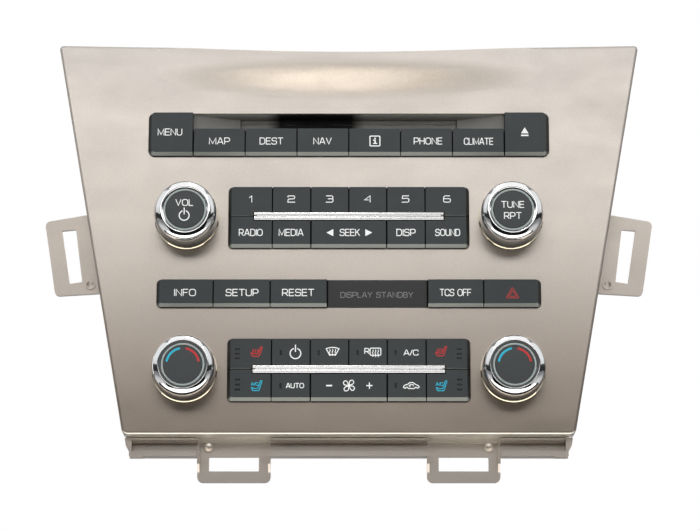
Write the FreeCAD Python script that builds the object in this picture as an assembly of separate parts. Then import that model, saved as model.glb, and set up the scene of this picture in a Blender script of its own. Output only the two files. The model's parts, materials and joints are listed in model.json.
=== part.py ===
import FreeCAD, Part
import math
import os

# Car centre-stack radio and climate control panel.
# Millimetres. +X to the right seen from the driver's side, +Y into the dashboard, +Z up.
# Origin: on the dashboard seat plane (the rear faces of the four clip ears, y = 0),
# on the centre line, midway in height between the two side-ear slots.

V = FreeCAD.Vector

# ---- driving dimensions -------------------------------------------------
FRONT_Y = -18.5            # front plane of the fascia
SEAT_Y = 0.0               # rear face of the ears, seats on the dashboard
FASCIA_T = 2.5             # fascia wall
SKIRT_BACK_Y = -4.5        # rear edge of the fascia's side walls
BOTTOM_Z = -107.6          # lower edge of the fascia
TOP_Z = 124.2              # upper edge of the fascia on the centre line
TOP_RISE = 1.8             # how much higher the upper edge is at the corners
BOTTOM_HALF_W = 129.5      # half width at the lower edge
SIDE_SLOPE = 0.1804        # half width gained per mm of height
SCOOP_HALF_W = 118.0       # scoop below the upper edge
SCOOP_DEPTH = 6.6
SCOOP_TOP_Z = 119.6
SCOOP_LOW_Z = 91.6
EDGE_R = 1.6               # rounding of the fascia's front edge
KEY_FRONT_Y = -22.0        # key faces
KEY_BACK_Y = -15.4         # rear edge of the key caps
KEY_TRAVEL = 1.0
KEY_GAP = 0.25             # half of the gap between neighbouring keys
BANK_BEVEL = 1.8           # bevel along the sides and the foot of each bank of keys
KEY_WALL = 1.2
KEY_FACE_T = 1.6
STEM_END_Y = -11.1
STEM_W, STEM_H = 8.0, 5.0
WINDOW_GAP = 0.25
CARRIER_FRONT_Y, CARRIER_BACK_Y = -14.2, -12.6
MAT_FRONT_Y, MAT_BACK_Y = -9.2, -8.2
BOARD_FRONT_Y, BOARD_BACK_Y = -8.2, -6.6
DOME_H = 0.7
FRAME_T = 2.5              # ears of the mounting frame
PLATE_FRONT_Y, PLATE_BACK_Y = -2.9, -0.4   # its plate, set just clear of the seat plane
COVER_BACK_Y = 14.0        # rear face of the rear cover
KNOB_X = 94.2
KNOB_Z_UP, KNOB_Z_LOW = 19.6, -70.7
KNOB_BASE_R = 18.7
SLEEVE_R, SLEEVE_BORE_R = 6.0, 4.6
KNOB_BORE_R = 6.05         # 0.05 running clearance on the sleeve
CAP_R, CAP_STEM_R = 11.1, 4.55
CAP_CROWN = 0.24           # how much the caps are domed
HALO_R_IN, HALO_R_OUT = 11.25, 12.45
SCREW_R, SCREW_HEAD_R, SCREW_HEAD_H, SCREW_L = 1.5, 2.8, 1.8, 8.0
POST_R = 2.6               # fascia posts that carry the board screws
ROCKER_PIN_R, ROCKER_BORE_R = 1.0, 1.05
ROCKER_AXIS_Y = -17.4
DISC_SLIT_HALF_W = 64.0    # passes a 120 mm disc
DISC_SLIT_Z = (76.2, 81.8)
TUNNEL_BACK_Y = 9.0        # rear end of the disc guide, where the player docks

ROW1 = dict(x=117.6, z=(57.3, 83.8), r=4.0)
ROW2 = dict(x=70.2, z=(1.7, 38.4), r=2.9)
ROW3 = dict(x=111.3, z=(-33.5, -17.0), r=3.0)
ROW4 = dict(x=69.9, z=(-88.7, -52.0), r=2.9)
COLS = (-70.0, -44.4, -22.1, 0.0, 22.1, 44.4, 70.0)
BAR_HALF_L, BAR_H = 55.0, 4.6
BAR_Z_UP, BAR_Z_LOW = 20.5, -70.2

BOARD_SCREWS = [(s * x, z) for (x, z) in ((112, 48), (40, 48), (60, -8), (110, -43), (100, -95.5)) for s in (-1, 1)] + [(0, -8), (0, -43)]
FRAME_SCREWS = [(s * x, z) for (x, z) in ((157, 112), (88, 108), (146, 55), (136, -5), (126, -60)) for s in (-1, 1)]
COVER_SCREWS = [(s * x, z) for (x, z) in ((119.5, 58), (115, 0), (110, -50), (60, 66), (50, -98)) for s in (-1, 1)]

os.makedirs("parts", exist_ok=True)
MADE = []


# ---- helpers ------------------------------------------------------------
def half_width(z):
    return BOTTOM_HALF_W + SIDE_SLOPE * (z - BOTTOM_Z)


def box(x0, x1, y0, y1, z0, z1):
    return Part.makeBox(x1 - x0, y1 - y0, z1 - z0, V(x0, y0, z0))


def cyl(r, y0, y1, x, z):
    return Part.makeCylinder(r, y1 - y0, V(x, y0, z), V(0, 1, 0))


def cone(r0, r1, y0, y1, x, z):
    return Part.makeCone(r0, r1, y1 - y0, V(x, y0, z), V(0, 1, 0))


def fuse(shapes):
    s = shapes[0]
    if len(shapes) > 1:
        s = s.multiFuse(shapes[1:])
    return s.removeSplitter()


def outline(points, radii, y):
    """Closed wire in the plane y, from (x, z) points with a corner radius each."""
    n = len(points)
    edges, last, first = [], None, None
    for i in range(n):
        p = V(points[i][0], y, points[i][1])
        a = V(points[i - 1][0], y, points[i - 1][1])
        b = V(points[(i + 1) % n][0], y, points[(i + 1) % n][1])
        r = radii[i] if hasattr(radii, "__len__") else radii
        u, w = (a - p), (b - p)
        u.normalize()
        w.normalize()
        if r > 0:
            half = u.getAngle(w) / 2
            d = r / math.tan(half)
            s, e = p + u * d, p + w * d
            bis = u + w
            bis.normalize()
            m = p + bis * (r / math.sin(half) - r)
        else:
            s = e = p
        if last is not None and (s - last).Length > 1e-6:
            edges.append(Part.LineSegment(last, s).toShape())
        if first is None:
            first = s
        if r > 0:
            edges.append(Part.Arc(s, m, e).toShape())
        last = e
    if (first - last).Length > 1e-6:
        edges.append(Part.LineSegment(last, first).toShape())
    return Part.Wire(edges)


def prism(points, radii, y0, y1):
    return Part.Face(outline(points, radii, y0)).extrude(V(0, y1 - y0, 0))


def rect(x0, x1, z0, z1):
    return [(x0, z0), (x1, z0), (x1, z1), (x0, z1)]


def mirror_x(pts):
    return [(-x, z) for (x, z) in reversed(pts)]


def front_edges(shape, y, tol=1e-3):
    return [e for e in shape.Edges if all(abs(v.Point.y - y) < tol for v in e.Vertexes) and abs(e.CenterOfMass.y - y) < tol]


def round_front(shape, y, r):
    try:
        out = shape.makeFillet(r, front_edges(shape, y))
        if out.isValid() and len(out.Solids) == 1:
            return out
    except Exception:
        pass
    print("fillet skipped", y, r)
    return shape


def save(name, shape, count=1):
    solids = shape.Solids
    if len(solids) != count:
        raise RuntimeError("%s has %d solids, not %d" % (name, len(solids), count))
    for s in solids:
        if not s.isValid() or s.Volume <= 0:
            raise RuntimeError("%s is not a valid solid" % name)
    out = solids[0] if count == 1 else Part.makeCompound(solids)
    out.exportStep("parts/%s.step" % name)
    MADE.append((name, shape.Volume))


# ---- fascia -------------------------------------------------------------
def fascia_outline(inset, y):
    """Trapezoid with a slightly hollow upper edge and rounded corners."""
    zb, zt = BOTTOM_Z + inset, TOP_Z - inset
    k = inset * math.sqrt(1 + SIDE_SLOPE ** 2)
    ztc = TOP_Z + TOP_RISE - inset
    wb, wt = half_width(zb) - k, half_width(ztc) - k
    rt, rb = max(4.0 - inset, 0.8), max(3.0 - inset, 0.8)
    n = 12
    top = []
    for i in range(n + 1):
        x = wt - 2 * wt * i / n
        top.append((x, zt + TOP_RISE * (x / wt) ** 2))
    pts = [(-wb, zb), (wb, zb)] + top
    radii = [rb, rb, rt] + [0] * (n - 1) + [rt]
    # corner arcs with straight runs, the upper edge as one smooth spline
    left, right = top[-1], top[0]
    d = 3.0
    ux = (half_width(right[1] - d) - k)
    a = V(ux, y, right[1] - d)                       # on the right side
    b = V(wt - d, y, zt + TOP_RISE * ((wt - d) / wt) ** 2)
    spline_pts = [V(b.x - (2 * b.x) * i / 10.0, y, zt + TOP_RISE * ((b.x - 2 * b.x * i / 10.0) / wt) ** 2) for i in range(11)]
    spl = Part.BSplineCurve()
    spl.interpolate(spline_pts)
    c = spline_pts[-1]
    e = V(-ux, y, a.z)
    corner = V(wt, y, ztc)

    def blend(p, q, tip):
        m = (p + q) * 0.5
        mid = m + (tip - m) * 0.42
        return Part.Arc(p, mid, q).toShape()

    p0, p1 = V(-wb + rb + 0.3, y, zb), V(wb - rb - 0.3, y, zb)
    bl, br = V(-(half_width(zb + rb) - k), y, zb + rb), V(half_width(zb + rb) - k, y, zb + rb)
    edges = [
        Part.LineSegment(p0, p1).toShape(),
        blend(p1, br, V(wb, y, zb)),
        Part.LineSegment(br, a).toShape(),
        blend(a, b, corner),
        spl.toShape(),
        blend(c, e, V(-wt, y, ztc)),
        Part.LineSegment(e, bl).toShape(),
        blend(bl, p0, V(-wb, y, zb)),
    ]
    return Part.Wire(edges)


def scoop_cutter(shift):
    """Everything in front of the scooped surface. shift moves it back for the inner face."""
    wires = []
    for x in (-129.0, -118.0, -108.0, -96.0, -80.0, -60.0, -40.0, -20.0, 0.0, 20.0, 40.0, 60.0, 80.0, 96.0, 108.0, 118.0, 129.0):
        t = abs(x) / SCOOP_HALF_W
        depth = SCOOP_DEPTH * max(0.0, 1 - t ** 2.0) ** 1.5 - 0.14 * t ** 8
        low = SCOOP_LOW_Z + 9.0 * min(t, 1.0) ** 2.2
        high = SCOOP_TOP_Z - 7.0 * min(t, 1.0) ** 2.2
        y0 = FRONT_Y + shift
        curve = []
        for i in range(9):
            u = i / 8.0
            curve.append(V(x, y0 - 0.14 + (depth + 0.14) * u * u * (3 - 2 * u), low + (high - low) * u))
        spl = Part.BSplineCurve()
        spl.interpolate(curve)
        a, b = curve[0], curve[-1]
        c, d = V(x, b.y, TOP_Z + 14), V(x, -44, TOP_Z + 14)
        e = V(x, -44, a.z)
        wires.append(Part.Wire([spl.toShape(), Part.LineSegment(b, c).toShape(), Part.LineSegment(c, d).toShape(),
                                Part.LineSegment(d, e).toShape(), Part.LineSegment(e, a).toShape()]))
    return Part.makeLoft(wires, True, False)


def make_fascia():
    outer = Part.Face(fascia_outline(0, FRONT_Y)).extrude(V(0, SKIRT_BACK_Y - FRONT_Y, 0))
    outer = round_front(outer, FRONT_Y, EDGE_R)
    inner = Part.Face(fascia_outline(FASCIA_T, FRONT_Y + FASCIA_T)).extrude(V(0, SKIRT_BACK_Y - FRONT_Y + 5, 0))
    outer = outer.cut(scoop_cutter(0.0))
    inner = inner.cut(scoop_cutter(FASCIA_T))
    body = outer.cut(inner)
    posts = []
    for (x, z) in FRAME_SCREWS:
        posts.append(cyl(3.5, -15.7 if abs(x) == 88 else -16.5, PLATE_FRONT_Y, x, z))
    for (x, z) in BOARD_SCREWS:
        posts.append(cyl(3.6, -16.5, CARRIER_FRONT_Y, x, z))
        posts.append(cyl(POST_R, -16.5, BOARD_FRONT_Y, x, z))
    body = body.multiFuse(posts)
    cuts = []
    for r in (ROW1, ROW2, ROW3, ROW4):
        cuts.append(prism(rect(-r["x"], r["x"], r["z"][0], r["z"][1]), r["r"], -30, -10))
    for sx in (-1, 1):
        for z in (KNOB_Z_UP, KNOB_Z_LOW):
            cuts.append(cyl(9.0, -30, -10, sx * KNOB_X, z))
    for (x, z) in FRAME_SCREWS:
        cuts.append(cyl(SCREW_R, -8.5, 0, x, z))
    for (x, z) in BOARD_SCREWS:
        cuts.append(cyl(SCREW_R, -15.1, 0, x, z))
    return body.cut(Part.makeCompound(cuts))


# ---- mounting frame: plate, perimeter wall, ears, lower channel ----------
SIDE_EAR = [(178.8, 21.85), (150.0, 26.9), (142.0, -21.0), (171.6, -22.8)]
SIDE_SLOT = [(168.6, 16.6), (160.5, 17.4), (156.1, -14.3), (163.4, -15.45)]
SIDE_BOSS = (151.3, -16.0)
LOW_EAR = [(45.0, -103.0), (45.0, -132.8), (87.2, -132.8), (87.2, -103.0)]
LOW_SLOT = (51.75, 80.5, -126.3, -118.0)
LOW_BOSS = (80.6, -112.4)
CHANNEL_X = 125.8
CHANNEL_Z = (-118.5, -116.1)


def boss(x, z):
    ring = cyl(3.0, SEAT_Y - FRAME_T - 0.7, SEAT_Y - FRAME_T + 0.2, x, z)
    ring = ring.cut(cone(2.3, 0.3, SEAT_Y - FRAME_T - 0.71, SEAT_Y - FRAME_T + 0.19, x, z))
    return ring


def make_frame():
    e0, e1 = SEAT_Y - FRAME_T, SEAT_Y
    y0, y1 = PLATE_FRONT_Y, PLATE_BACK_Y
    plate = Part.Face(fascia_outline(3.0, y0)).extrude(V(0, y1 - y0, 0))
    wall = Part.Face(fascia_outline(2.8, -13.0)).extrude(V(0, y0 + 13.0, 0))
    wall = wall.cut(Part.Face(fascia_outline(4.6, -14.0)).extrude(V(0, 20, 0)))
    wall = wall.cut(box(-200, 200, -20, 0, 86.0, 140))       # the scoop leaves no room above
    parts = [plate, wall]
    for s in (1, -1):
        pts = SIDE_EAR if s == 1 else mirror_x(SIDE_EAR)
        parts.append(prism(pts, 3.0, e0, e1))
        low = LOW_EAR if s == 1 else mirror_x(LOW_EAR)
        parts.append(prism(low, [0, 3.4, 3.4, 0], e0, e1))
        for xe in (45.0, 85.8):                              # side flanges of the lower ears
            a, b = (xe, xe + 1.4) if s == 1 else (-xe - 1.4, -xe)
            fl = box(a, b, e0 - 3.0, e0 + 0.5, -127.0, BOTTOM_Z - 0.1)
            wedge = Part.Face(Part.makePolygon([V(a - 1, e0 - 3.2, -122.0), V(a - 1, e0 - 3.2, -127.5), V(a - 1, e0, -127.5), V(a - 1, e0 - 3.2, -122.0)])).extrude(V(4, 0, 0))
            parts.append(fl.cut(wedge))
        parts.append(boss(s * SIDE_BOSS[0], SIDE_BOSS[1]))
        parts.append(boss(s * LOW_BOSS[0], LOW_BOSS[1]))
        parts.append(cyl(0.7, e0 - 0.5, e0 + 0.5, s * 73.6, -112.8))
    # channel: a back web, an upper stepped rail and a lower shelf, broken at the ears
    for (xa, xb) in ((-CHANNEL_X, -87.2), (-45.0, 45.0), (87.2, CHANNEL_X)):
        parts.append(box(xa, xb, y0 - 1.5, y1, -118.5, -103.5))
        parts.append(box(xa, xb, -12.5, y0, CHANNEL_Z[0], CHANNEL_Z[1]))
        parts.append(box(xa, xb, -12.9, -11.5, CHANNEL_Z[0] - 0.5, CHANNEL_Z[0] + 1.0))
        parts.append(box(xa, xb, -9.5, y0, -109.3, -108.0))
        parts.append(box(xa, xb, -6.5, y0, -110.6, -109.0))
    for s in (1, -1):
        a, b = (CHANNEL_X - 8.0, CHANNEL_X - 0.4) if s == 1 else (-CHANNEL_X + 0.4, -CHANNEL_X + 8.0)
        parts.append(box(a, b, -12.9, -8.0, -119.9, -118.0))
        gus = [(124.5, -108.2), (128.6, -108.2), (127.9, -112.6), (126.4, -115.4), (124.5, -116.6)]
        gus = gus if s == 1 else mirror_x(gus)
        parts.append(prism(gus, 0, -11.0, y0))
        # drop wall tying the channel to the perimeter wall
    parts.append(box(-124.0, 124.0, y0 - 1.5, y0 + 0.5, -110.0, -102.0))
    # stiffening ribs on the plate's front side, beside the rear cover
    for s in (1, -1):
        for z in (88.0, 30.0, -35.0, -85.0):
            xa = 124.0 if z < 0 else 132.0
            xa = 117.0 if z < -50 else xa
            xb = half_width(z) - 3.6
            a, b = (xa, xb) if s == 1 else (-xb, -xa)
            parts.append(box(a, b, y0 - 3.0, y0, z - 0.8, z + 0.8))
    for x in (-104, -60, -20, 20, 60, 104):
        parts.append(box(x - 0.8, x + 0.8, y0 - 3.0, y0, 89.5, 114.0))
    for (x, z) in COVER_SCREWS:
        parts.append(cyl(3.2, -6.4, y0 + 0.2, x, z))
    body = fuse(parts)
    cuts = [
        prism([(-109.5, 62.0), (-99.5, -93.0), (99.5, -93.0), (109.5, 62.0)], 6.0, -20, 20),
        prism(rect(-72, 72, 72.5, 86.5), 2.0, -20, 20),
    ]
    for s in (1, -1):
        cuts.append(prism(SIDE_SLOT if s == 1 else mirror_x(SIDE_SLOT), 0.4, -20, 20))
        r = rect(LOW_SLOT[0], LOW_SLOT[1], LOW_SLOT[2], LOW_SLOT[3]) if s == 1 else rect(-LOW_SLOT[1], -LOW_SLOT[0], LOW_SLOT[2], LOW_SLOT[3])
        cuts.append(prism(r, 0.4, -20, 20))
        cuts.append(prism([(s * 134.5, 96), (s * 153.0, 96), (s * 149.6, 78), (s * 134.5, 78)], 3.0, -20, 20))
    for (x, z) in FRAME_SCREWS:
        cuts.append(cyl(SCREW_R + 0.15, -10, 10, x, z))
    for (x, z) in COVER_SCREWS:
        cuts.append(cyl(SCREW_R, -10, 10, x, z))
    return body.cut(Part.makeCompound(cuts))


# ---- keys ---------------------------------------------------------------
KEYS = {}          # name -> (points, radii, stem centre or None)
G = KEY_GAP


def add_key(name, x0, x1, z0, z1, corners=None, radius=2.6, stem=None, pts=None, rockers=None):
    if pts is None:
        pts = rect(x0 + G, x1 - G, z0, z1)
        rad = [0.5, 0.5, 0.5, 0.5]
        for c in (corners or ()):
            rad[c] = radius
    else:
        rad = radius
    zm = (z0 + z1) / 2.0
    bank = [r for r in (ROW1, ROW2, ROW3, ROW4) if r["z"][0] < zm < r["z"][1]][0]
    KEYS[name] = dict(bank=bank, pts=pts, rad=rad, stem=stem or ((x0 + x1) / 2.0, (z0 + z1) / 2.0), rocker=rockers)


# row 1: the tall end keys and six navigation keys
add_key("menu_key", -117.5, -91.2, 57.45, 83.55, (0, 3), 3.8, stem=(-104.3, 65.5))
add_key("eject_key", 91.2, 117.5, 57.45, 83.55, (1, 2), 3.8, stem=(104.3, 65.5))
NAMES1 = ("map_key", "dest_key", "nav_key", "info_page_key", "phone_key", "climate_key")
for i, n in enumerate(NAMES1):
    add_key(n, -91.0 + i * 30.333, -91.0 + (i + 1) * 30.333, 57.45, 73.6, stem=(-91.0 + (i + 0.5) * 30.333, 65.5))


def bank(names_up, names_low, bar_z, z0, z1, rr):
    """Two rows of keys around a bright bar. The end keys wrap round the bar's ends."""
    up0, low1 = bar_z + BAR_H / 2 + 0.35, bar_z - BAR_H / 2 - 0.35
    for i, n in enumerate(names_up):
        a, b = COLS[i], COLS[i + 1]
        if i == 0:
            pts = [(a + G, bar_z + G), (-BAR_HALF_L - 0.5, bar_z + G), (-BAR_HALF_L - 0.5, up0), (b - G, up0), (b - G, z1), (a + G, z1)]
            rad = [0.4, 0.4, 0.0, 0.4, 0.5, rr]
        elif i == 5:
            pts = [(a + G, up0), (BAR_HALF_L + 0.5, up0), (BAR_HALF_L + 0.5, bar_z + G), (b - G, bar_z + G), (b - G, z1), (a + G, z1)]
            rad = [0.4, 0.0, 0.4, 0.4, rr, 0.5]
        else:
            pts, rad = rect(a + G, b - G, up0, z1), [0.5] * 4
        add_key(n, a, b, up0, z1, radius=rad, pts=pts, stem=((a + b) / 2, (up0 + z1) / 2))
    cols = (COLS[0], COLS[1], COLS[2], COLS[4], COLS[5], COLS[6])
    for i, n in enumerate(names_low):
        a, b = cols[i], cols[i + 1]
        rock = None
        if i == 0:
            pts = [(a + G, z0), (b - G, z0), (b - G, low1), (-BAR_HALF_L - 0.5, low1), (-BAR_HALF_L - 0.5, bar_z - G), (a + G, bar_z - G)]
            rad = [rr, 0.5, 0.4, 0.0, 0.4, 0.4]
        elif i == 4:
            pts = [(a + G, z0), (b - G, z0), (b - G, bar_z - G), (BAR_HALF_L + 0.5, bar_z - G), (BAR_HALF_L + 0.5, low1), (a + G, low1)]
            rad = [0.5, rr, 0.4, 0.4, 0.0, 0.4]
        elif i == 2:
            pts, rad = rect(a + 0.45, b - 0.45, z0, low1), [0.5] * 4
            rock = (z0, low1)
        else:
            pts, rad = rect(a + G, b - G, z0, low1), [0.5] * 4
        add_key(n, a, b, z0, low1, radius=rad, pts=pts, stem=((a + b) / 2, (z0 + low1) / 2), rockers=rock)


bank(("preset_1_key", "preset_2_key", "preset_3_key", "preset_4_key", "preset_5_key", "preset_6_key"),
     ("radio_key", "media_key", "seek_rocker", "display_key", "sound_key"), BAR_Z_UP, 1.95, 38.15, 2.65)
bank(("left_seat_heat_key", "climate_power_key", "front_defrost_key", "rear_defrost_key", "air_con_key", "right_seat_heat_key"),
     ("left_seat_cool_key", "auto_key", "fan_rocker", "recirculation_key", "right_seat_cool_key"), BAR_Z_LOW, -88.45, -52.25, 2.65)
add_key("trip_info_key", -111.05, -78.3, -33.3, -17.2, (0, 3), 2.8)
add_key("setup_key", -78.3, -45.4, -33.3, -17.2)
add_key("reset_key", -45.4, -12.5, -33.3, -17.2)
add_key("traction_key", 45.6, 77.9, -33.3, -17.2)
add_key("hazard_key", 77.9, 111.05, -33.3, -17.2, (1, 2), 2.8)


BANKS = {}


def bank_solid(row):
    """The envelope of a bank of keys: square at the top, bevelled at the sides and the foot."""
    if id(row) not in BANKS:
        x, (z0, z1), r = row["x"] - 0.15, row["z"], row["r"] - 0.2
        z0, z1, b = z0 + 0.15, z1 - 0.15, BANK_BEVEL
        front = outline(rect(-x + b, x - b, z0 + b, z1 - 0.25), r * 0.62, KEY_FRONT_Y)
        mid = outline(rect(-x, x, z0, z1), r, KEY_FRONT_Y + b)
        BANKS[id(row)] = Part.makeLoft([front, mid], True, True).fuse(prism(rect(-x, x, z0, z1), r, KEY_FRONT_Y + b, KEY_BACK_Y)).removeSplitter()
    return BANKS[id(row)]


def make_key(k):
    pts, rad, (sx, sz) = k["pts"], k["rad"], k["stem"]
    # the bank's envelope makes the outer sides, so the key's own outline runs past it there
    row = k["bank"]
    big, brad = [], []
    for i, (x, z) in enumerate(pts):
        r = rad[i] if hasattr(rad, "__len__") else rad
        out = False
        if abs(x) > row["x"] - 1.5:
            x, out = math.copysign(row["x"] + 2.0, x), True
        if z < row["z"][0] + 1.0:
            z, out = row["z"][0] - 2.0, True
        elif z > row["z"][1] - 1.0:
            z, out = row["z"][1] + 2.0, True
        big.append((x, z))
        brad.append(0.0 if out else min(r, 0.5))
    cap = round_front(prism(big, brad, KEY_FRONT_Y, KEY_BACK_Y), KEY_FRONT_Y, 0.3)
    cap = cap.common(bank_solid(k["bank"]))
    face = Part.Face(outline(pts, rad, KEY_FRONT_Y + KEY_FACE_T))
    pocket = face.makeOffset2D(-KEY_WALL).extrude(V(0, 20, 0))
    cap = cap.cut(pocket)
    y0 = KEY_FRONT_Y + KEY_FACE_T - 0.2
    if k["rocker"]:
        z0, z1 = k["rocker"]
        hub = box(-2.2, 2.2, y0, ROCKER_AXIS_Y + 2.0, z0 + 3.0, z1 - 3.0)
        stems = [box(s * 14 - 2, s * 14 + 2, y0, STEM_END_Y, sz - 2.5, sz + 2.5) for s in (-1, 1)]
        cap = fuse([cap, hub] + stems)
        bore = Part.makeCylinder(ROCKER_BORE_R, z1 - z0 + 4, V(0, ROCKER_AXIS_Y, z0 - 2), V(0, 0, 1))
        inner = bore.common(box(-3, 3, -30, 0, z0 + 1.3, z1 - 1.3))
        return cap.cut(inner)
    stem = box(sx - STEM_W / 2, sx + STEM_W / 2, y0, STEM_END_Y, sz - STEM_H / 2, sz + STEM_H / 2)
    barb = box(sx - STEM_W / 2 - 0.45, sx + STEM_W / 2 + 0.45, CARRIER_BACK_Y + 0.2, STEM_END_Y - 0.1, sz - 1.5, sz + 1.5)
    return fuse([cap, stem, barb])


def stem_points():
    pts = []
    for n, k in KEYS.items():
        if k["rocker"]:
            for s in (-1, 1):
                pts.append((n, s * 14.0, k["stem"][1], True))
        else:
            pts.append((n, k["stem"][0], k["stem"][1], False))
    return pts


# ---- button carrier -----------------------------------------------------
CARRIER = [(-116, -100), (116, -100), (134, 93), (-134, 93)]
BOARD = [(-112, -100), (112, -100), (128, 74.5), (-128, 74.5)]


def make_carrier():
    plate = prism(CARRIER, 5.0, CARRIER_FRONT_Y, CARRIER_BACK_Y)
    parts = [plate]
    for (x, z) in BOARD_SCREWS:
        parts.append(cyl(4.0, CARRIER_BACK_Y - 0.2, BOARD_FRONT_Y, x, z))
    # low ribs that frame the key banks, in the gaps behind the fascia
    for r in (ROW1, ROW2, ROW3, ROW4):
        z0, z1, x = r["z"][0], r["z"][1], r["x"]
        ring = prism(rect(-x - 2.6, x + 2.6, z0 - 2.6, z1 + 2.6), 3.5, CARRIER_FRONT_Y - 1.6, CARRIER_FRONT_Y + 0.2)
        ring = ring.cut(prism(rect(-x - 1.2, x + 1.2, z0 - 1.2, z1 + 1.2), 3.0, -30, 0))
        parts.append(ring)
    for n, k in KEYS.items():
        if k["rocker"]:
            z0, z1 = k["rocker"]
            for (a, b) in ((z0 + 1.6, z0 + 2.7), (z1 - 2.7, z1 - 1.6)):
                parts.append(box(-1.6, 1.6, ROCKER_AXIS_Y - 1.3, CARRIER_FRONT_Y + 0.2, a, b))
            parts.append(Part.makeCylinder(ROCKER_PIN_R, (z1 - 1.7) - (z0 + 1.7), V(0, ROCKER_AXIS_Y, z0 + 1.7), V(0, 0, 1)))
    body = fuse(parts)
    cuts = []
    for (n, x, z, rock) in stem_points():
        if rock:
            cuts.append(box(x - 2.7, x + 2.7, -20, 0, z - 3.0, z + 3.0))
        else:
            cuts.append(box(x - STEM_W / 2 - WINDOW_GAP, x + STEM_W / 2 + WINDOW_GAP, -20, 0, z - STEM_H / 2 - WINDOW_GAP, z + STEM_H / 2 + WINDOW_GAP))
    for s in (-1, 1):
        for z in (KNOB_Z_UP, KNOB_Z_LOW):
            cuts.append(cyl(7.2, -20, 0, s * KNOB_X, z))
    cuts.append(prism(rect(-91.6, 91.6, 73.7, 84.5), 0.5, -20, 0))
    for (x, z) in BOARD_SCREWS:
        cuts.append(cyl(POST_R + 0.05, -20, 0, x, z))
    for z in (BAR_Z_UP, BAR_Z_LOW):
        for x in (-50, 0, 50):
            cuts.append(box(x - 2.0, x + 2.0, -20, -12, z - 1.0, z + 1.0))
    for (x0, x1) in ((-100, -75), (75, 100)):
        cuts.append(prism(rect(x0, x1, -8, -2), 1.0, -20, 0))
    return body.cut(Part.makeCompound(cuts))


# ---- slot funnel --------------------------------------------------------
def make_slot_trim():
    zs = (DISC_SLIT_Z[0] - 1.2, DISC_SLIT_Z[1] + 1.2)
    body = fuse([prism(rect(-91.4, 91.4, 73.9, 84.3), 0.4, -15.9, -11.4), prism(rect(-94.5, 94.5, 72.6, 86.0), 1.0, -12.5, -11.4),
                 prism(rect(-DISC_SLIT_HALF_W - 1.6, DISC_SLIT_HALF_W + 1.6, zs[0], zs[1]), 0.8, -11.6, TUNNEL_BACK_Y)])
    front = outline(rect(-89.6, 89.6, 74.6, 83.7), 0.5, -15.95)
    back = outline(rect(-DISC_SLIT_HALF_W, DISC_SLIT_HALF_W, DISC_SLIT_Z[0], DISC_SLIT_Z[1]), 0.5, -12.0)
    back2 = prism(rect(-DISC_SLIT_HALF_W, DISC_SLIT_HALF_W, DISC_SLIT_Z[0], DISC_SLIT_Z[1]), 0.5, -12.1, 30)
    return body.cut(Part.makeLoft([front, back], True, True)).cut(back2)


# ---- bright bars --------------------------------------------------------
def make_bar(zc):
    def bead(z):
        prof = [V(0, -21.0, z - 1.05), V(0, -22.6, z), V(0, -21.0, z + 1.05)]
        w = Part.Wire([Part.Arc(prof[0], prof[1], prof[2]).toShape(), Part.LineSegment(prof[2], prof[0]).toShape()])
        return Part.Face(w).extrude(V(2 * BAR_HALF_L, 0, 0)).translated(V(-BAR_HALF_L, 0, 0))
    base = box(-BAR_HALF_L, BAR_HALF_L, -21.0, -16.4, zc - 2.3, zc + 2.3)
    body = fuse([base, bead(zc - 1.2), bead(zc + 1.2)])
    for s in (-1, 1):                                   # notched ends
        body = body.cut(box(*sorted((s * (BAR_HALF_L - 1.6), s * (BAR_HALF_L + 1))), -23, -10, zc - 0.45, zc + 0.45))
    legs = [box(x - 2.0, x + 2.0, -16.5, CARRIER_BACK_Y, zc - 1.0, zc + 1.0) for x in (-50, 0, 50)]
    web = [box(x - 4.0, x + 4.0, -16.5, CARRIER_FRONT_Y, zc - 1.6, zc + 1.6) for x in (-50, 0, 50)]
    return fuse([body] + legs + web)


# ---- knobs --------------------------------------------------------------
def revolve(pts, x, z):
    """Closed (r, h) profile, h measured forward of the fascia's front plane; a run given as a list is a spline."""
    edges, last = [], None
    for p in pts:
        if isinstance(p, list):
            vs = [V(x + r, FRONT_Y - h, z) for (r, h) in p]
            if last is not None and (vs[0] - last).Length > 1e-6:
                edges.append(Part.LineSegment(last, vs[0]).toShape())
            c = Part.BSplineCurve()
            c.interpolate(vs)
            edges.append(c.toShape())
            last = vs[-1]
        else:
            v = V(x + p[0], FRONT_Y - p[1], z)
            if last is not None:
                edges.append(Part.LineSegment(last, v).toShape())
            last = v
            if len(edges) == 0:
                first = v
    edges.append(Part.LineSegment(last, first).toShape())
    return Part.Face(Part.Wire(edges)).revolve(V(x, 0, z), V(0, 1, 0), 360)


def make_knob(x, z, stepped):
    top = 21.1 if stepped else 22.2                     # height of the inner lip
    web0, web1 = 11.6, 13.2
    rin = 13.75 if stepped else 13.05
    if stepped:
        lip = [(12.75, web1), (12.75, 19.9), (rin, 19.9), (rin, top - 0.3)]
    else:
        lip = [(rin, web1), (rin, top - 0.3)]
    k = top - 22.2
    curve = [(rin, top - 0.3), (rin + 0.28, top + 0.02), (14.7, 22.1 + k), (16.2, 21.3 + k), (17.4, 19.6 + k), (17.98, 17.0 + k), (18.18, 13.5 + k * 0.5), (18.28, 8.5), (18.34, 4.4)]
    prof = [(KNOB_BORE_R, web1)] + lip[:-1] + [curve] + [
        (18.34, 3.2), (18.36, 2.9), (KNOB_BASE_R, 2.7), (KNOB_BASE_R, 0.7), (KNOB_BASE_R - 1.6, 0.7),
        (16.3, 6.0), (15.6, web0), (9.0, web0), (8.6, 1.2), (KNOB_BORE_R, 1.2)]
    return revolve(prof, x, z)


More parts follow.
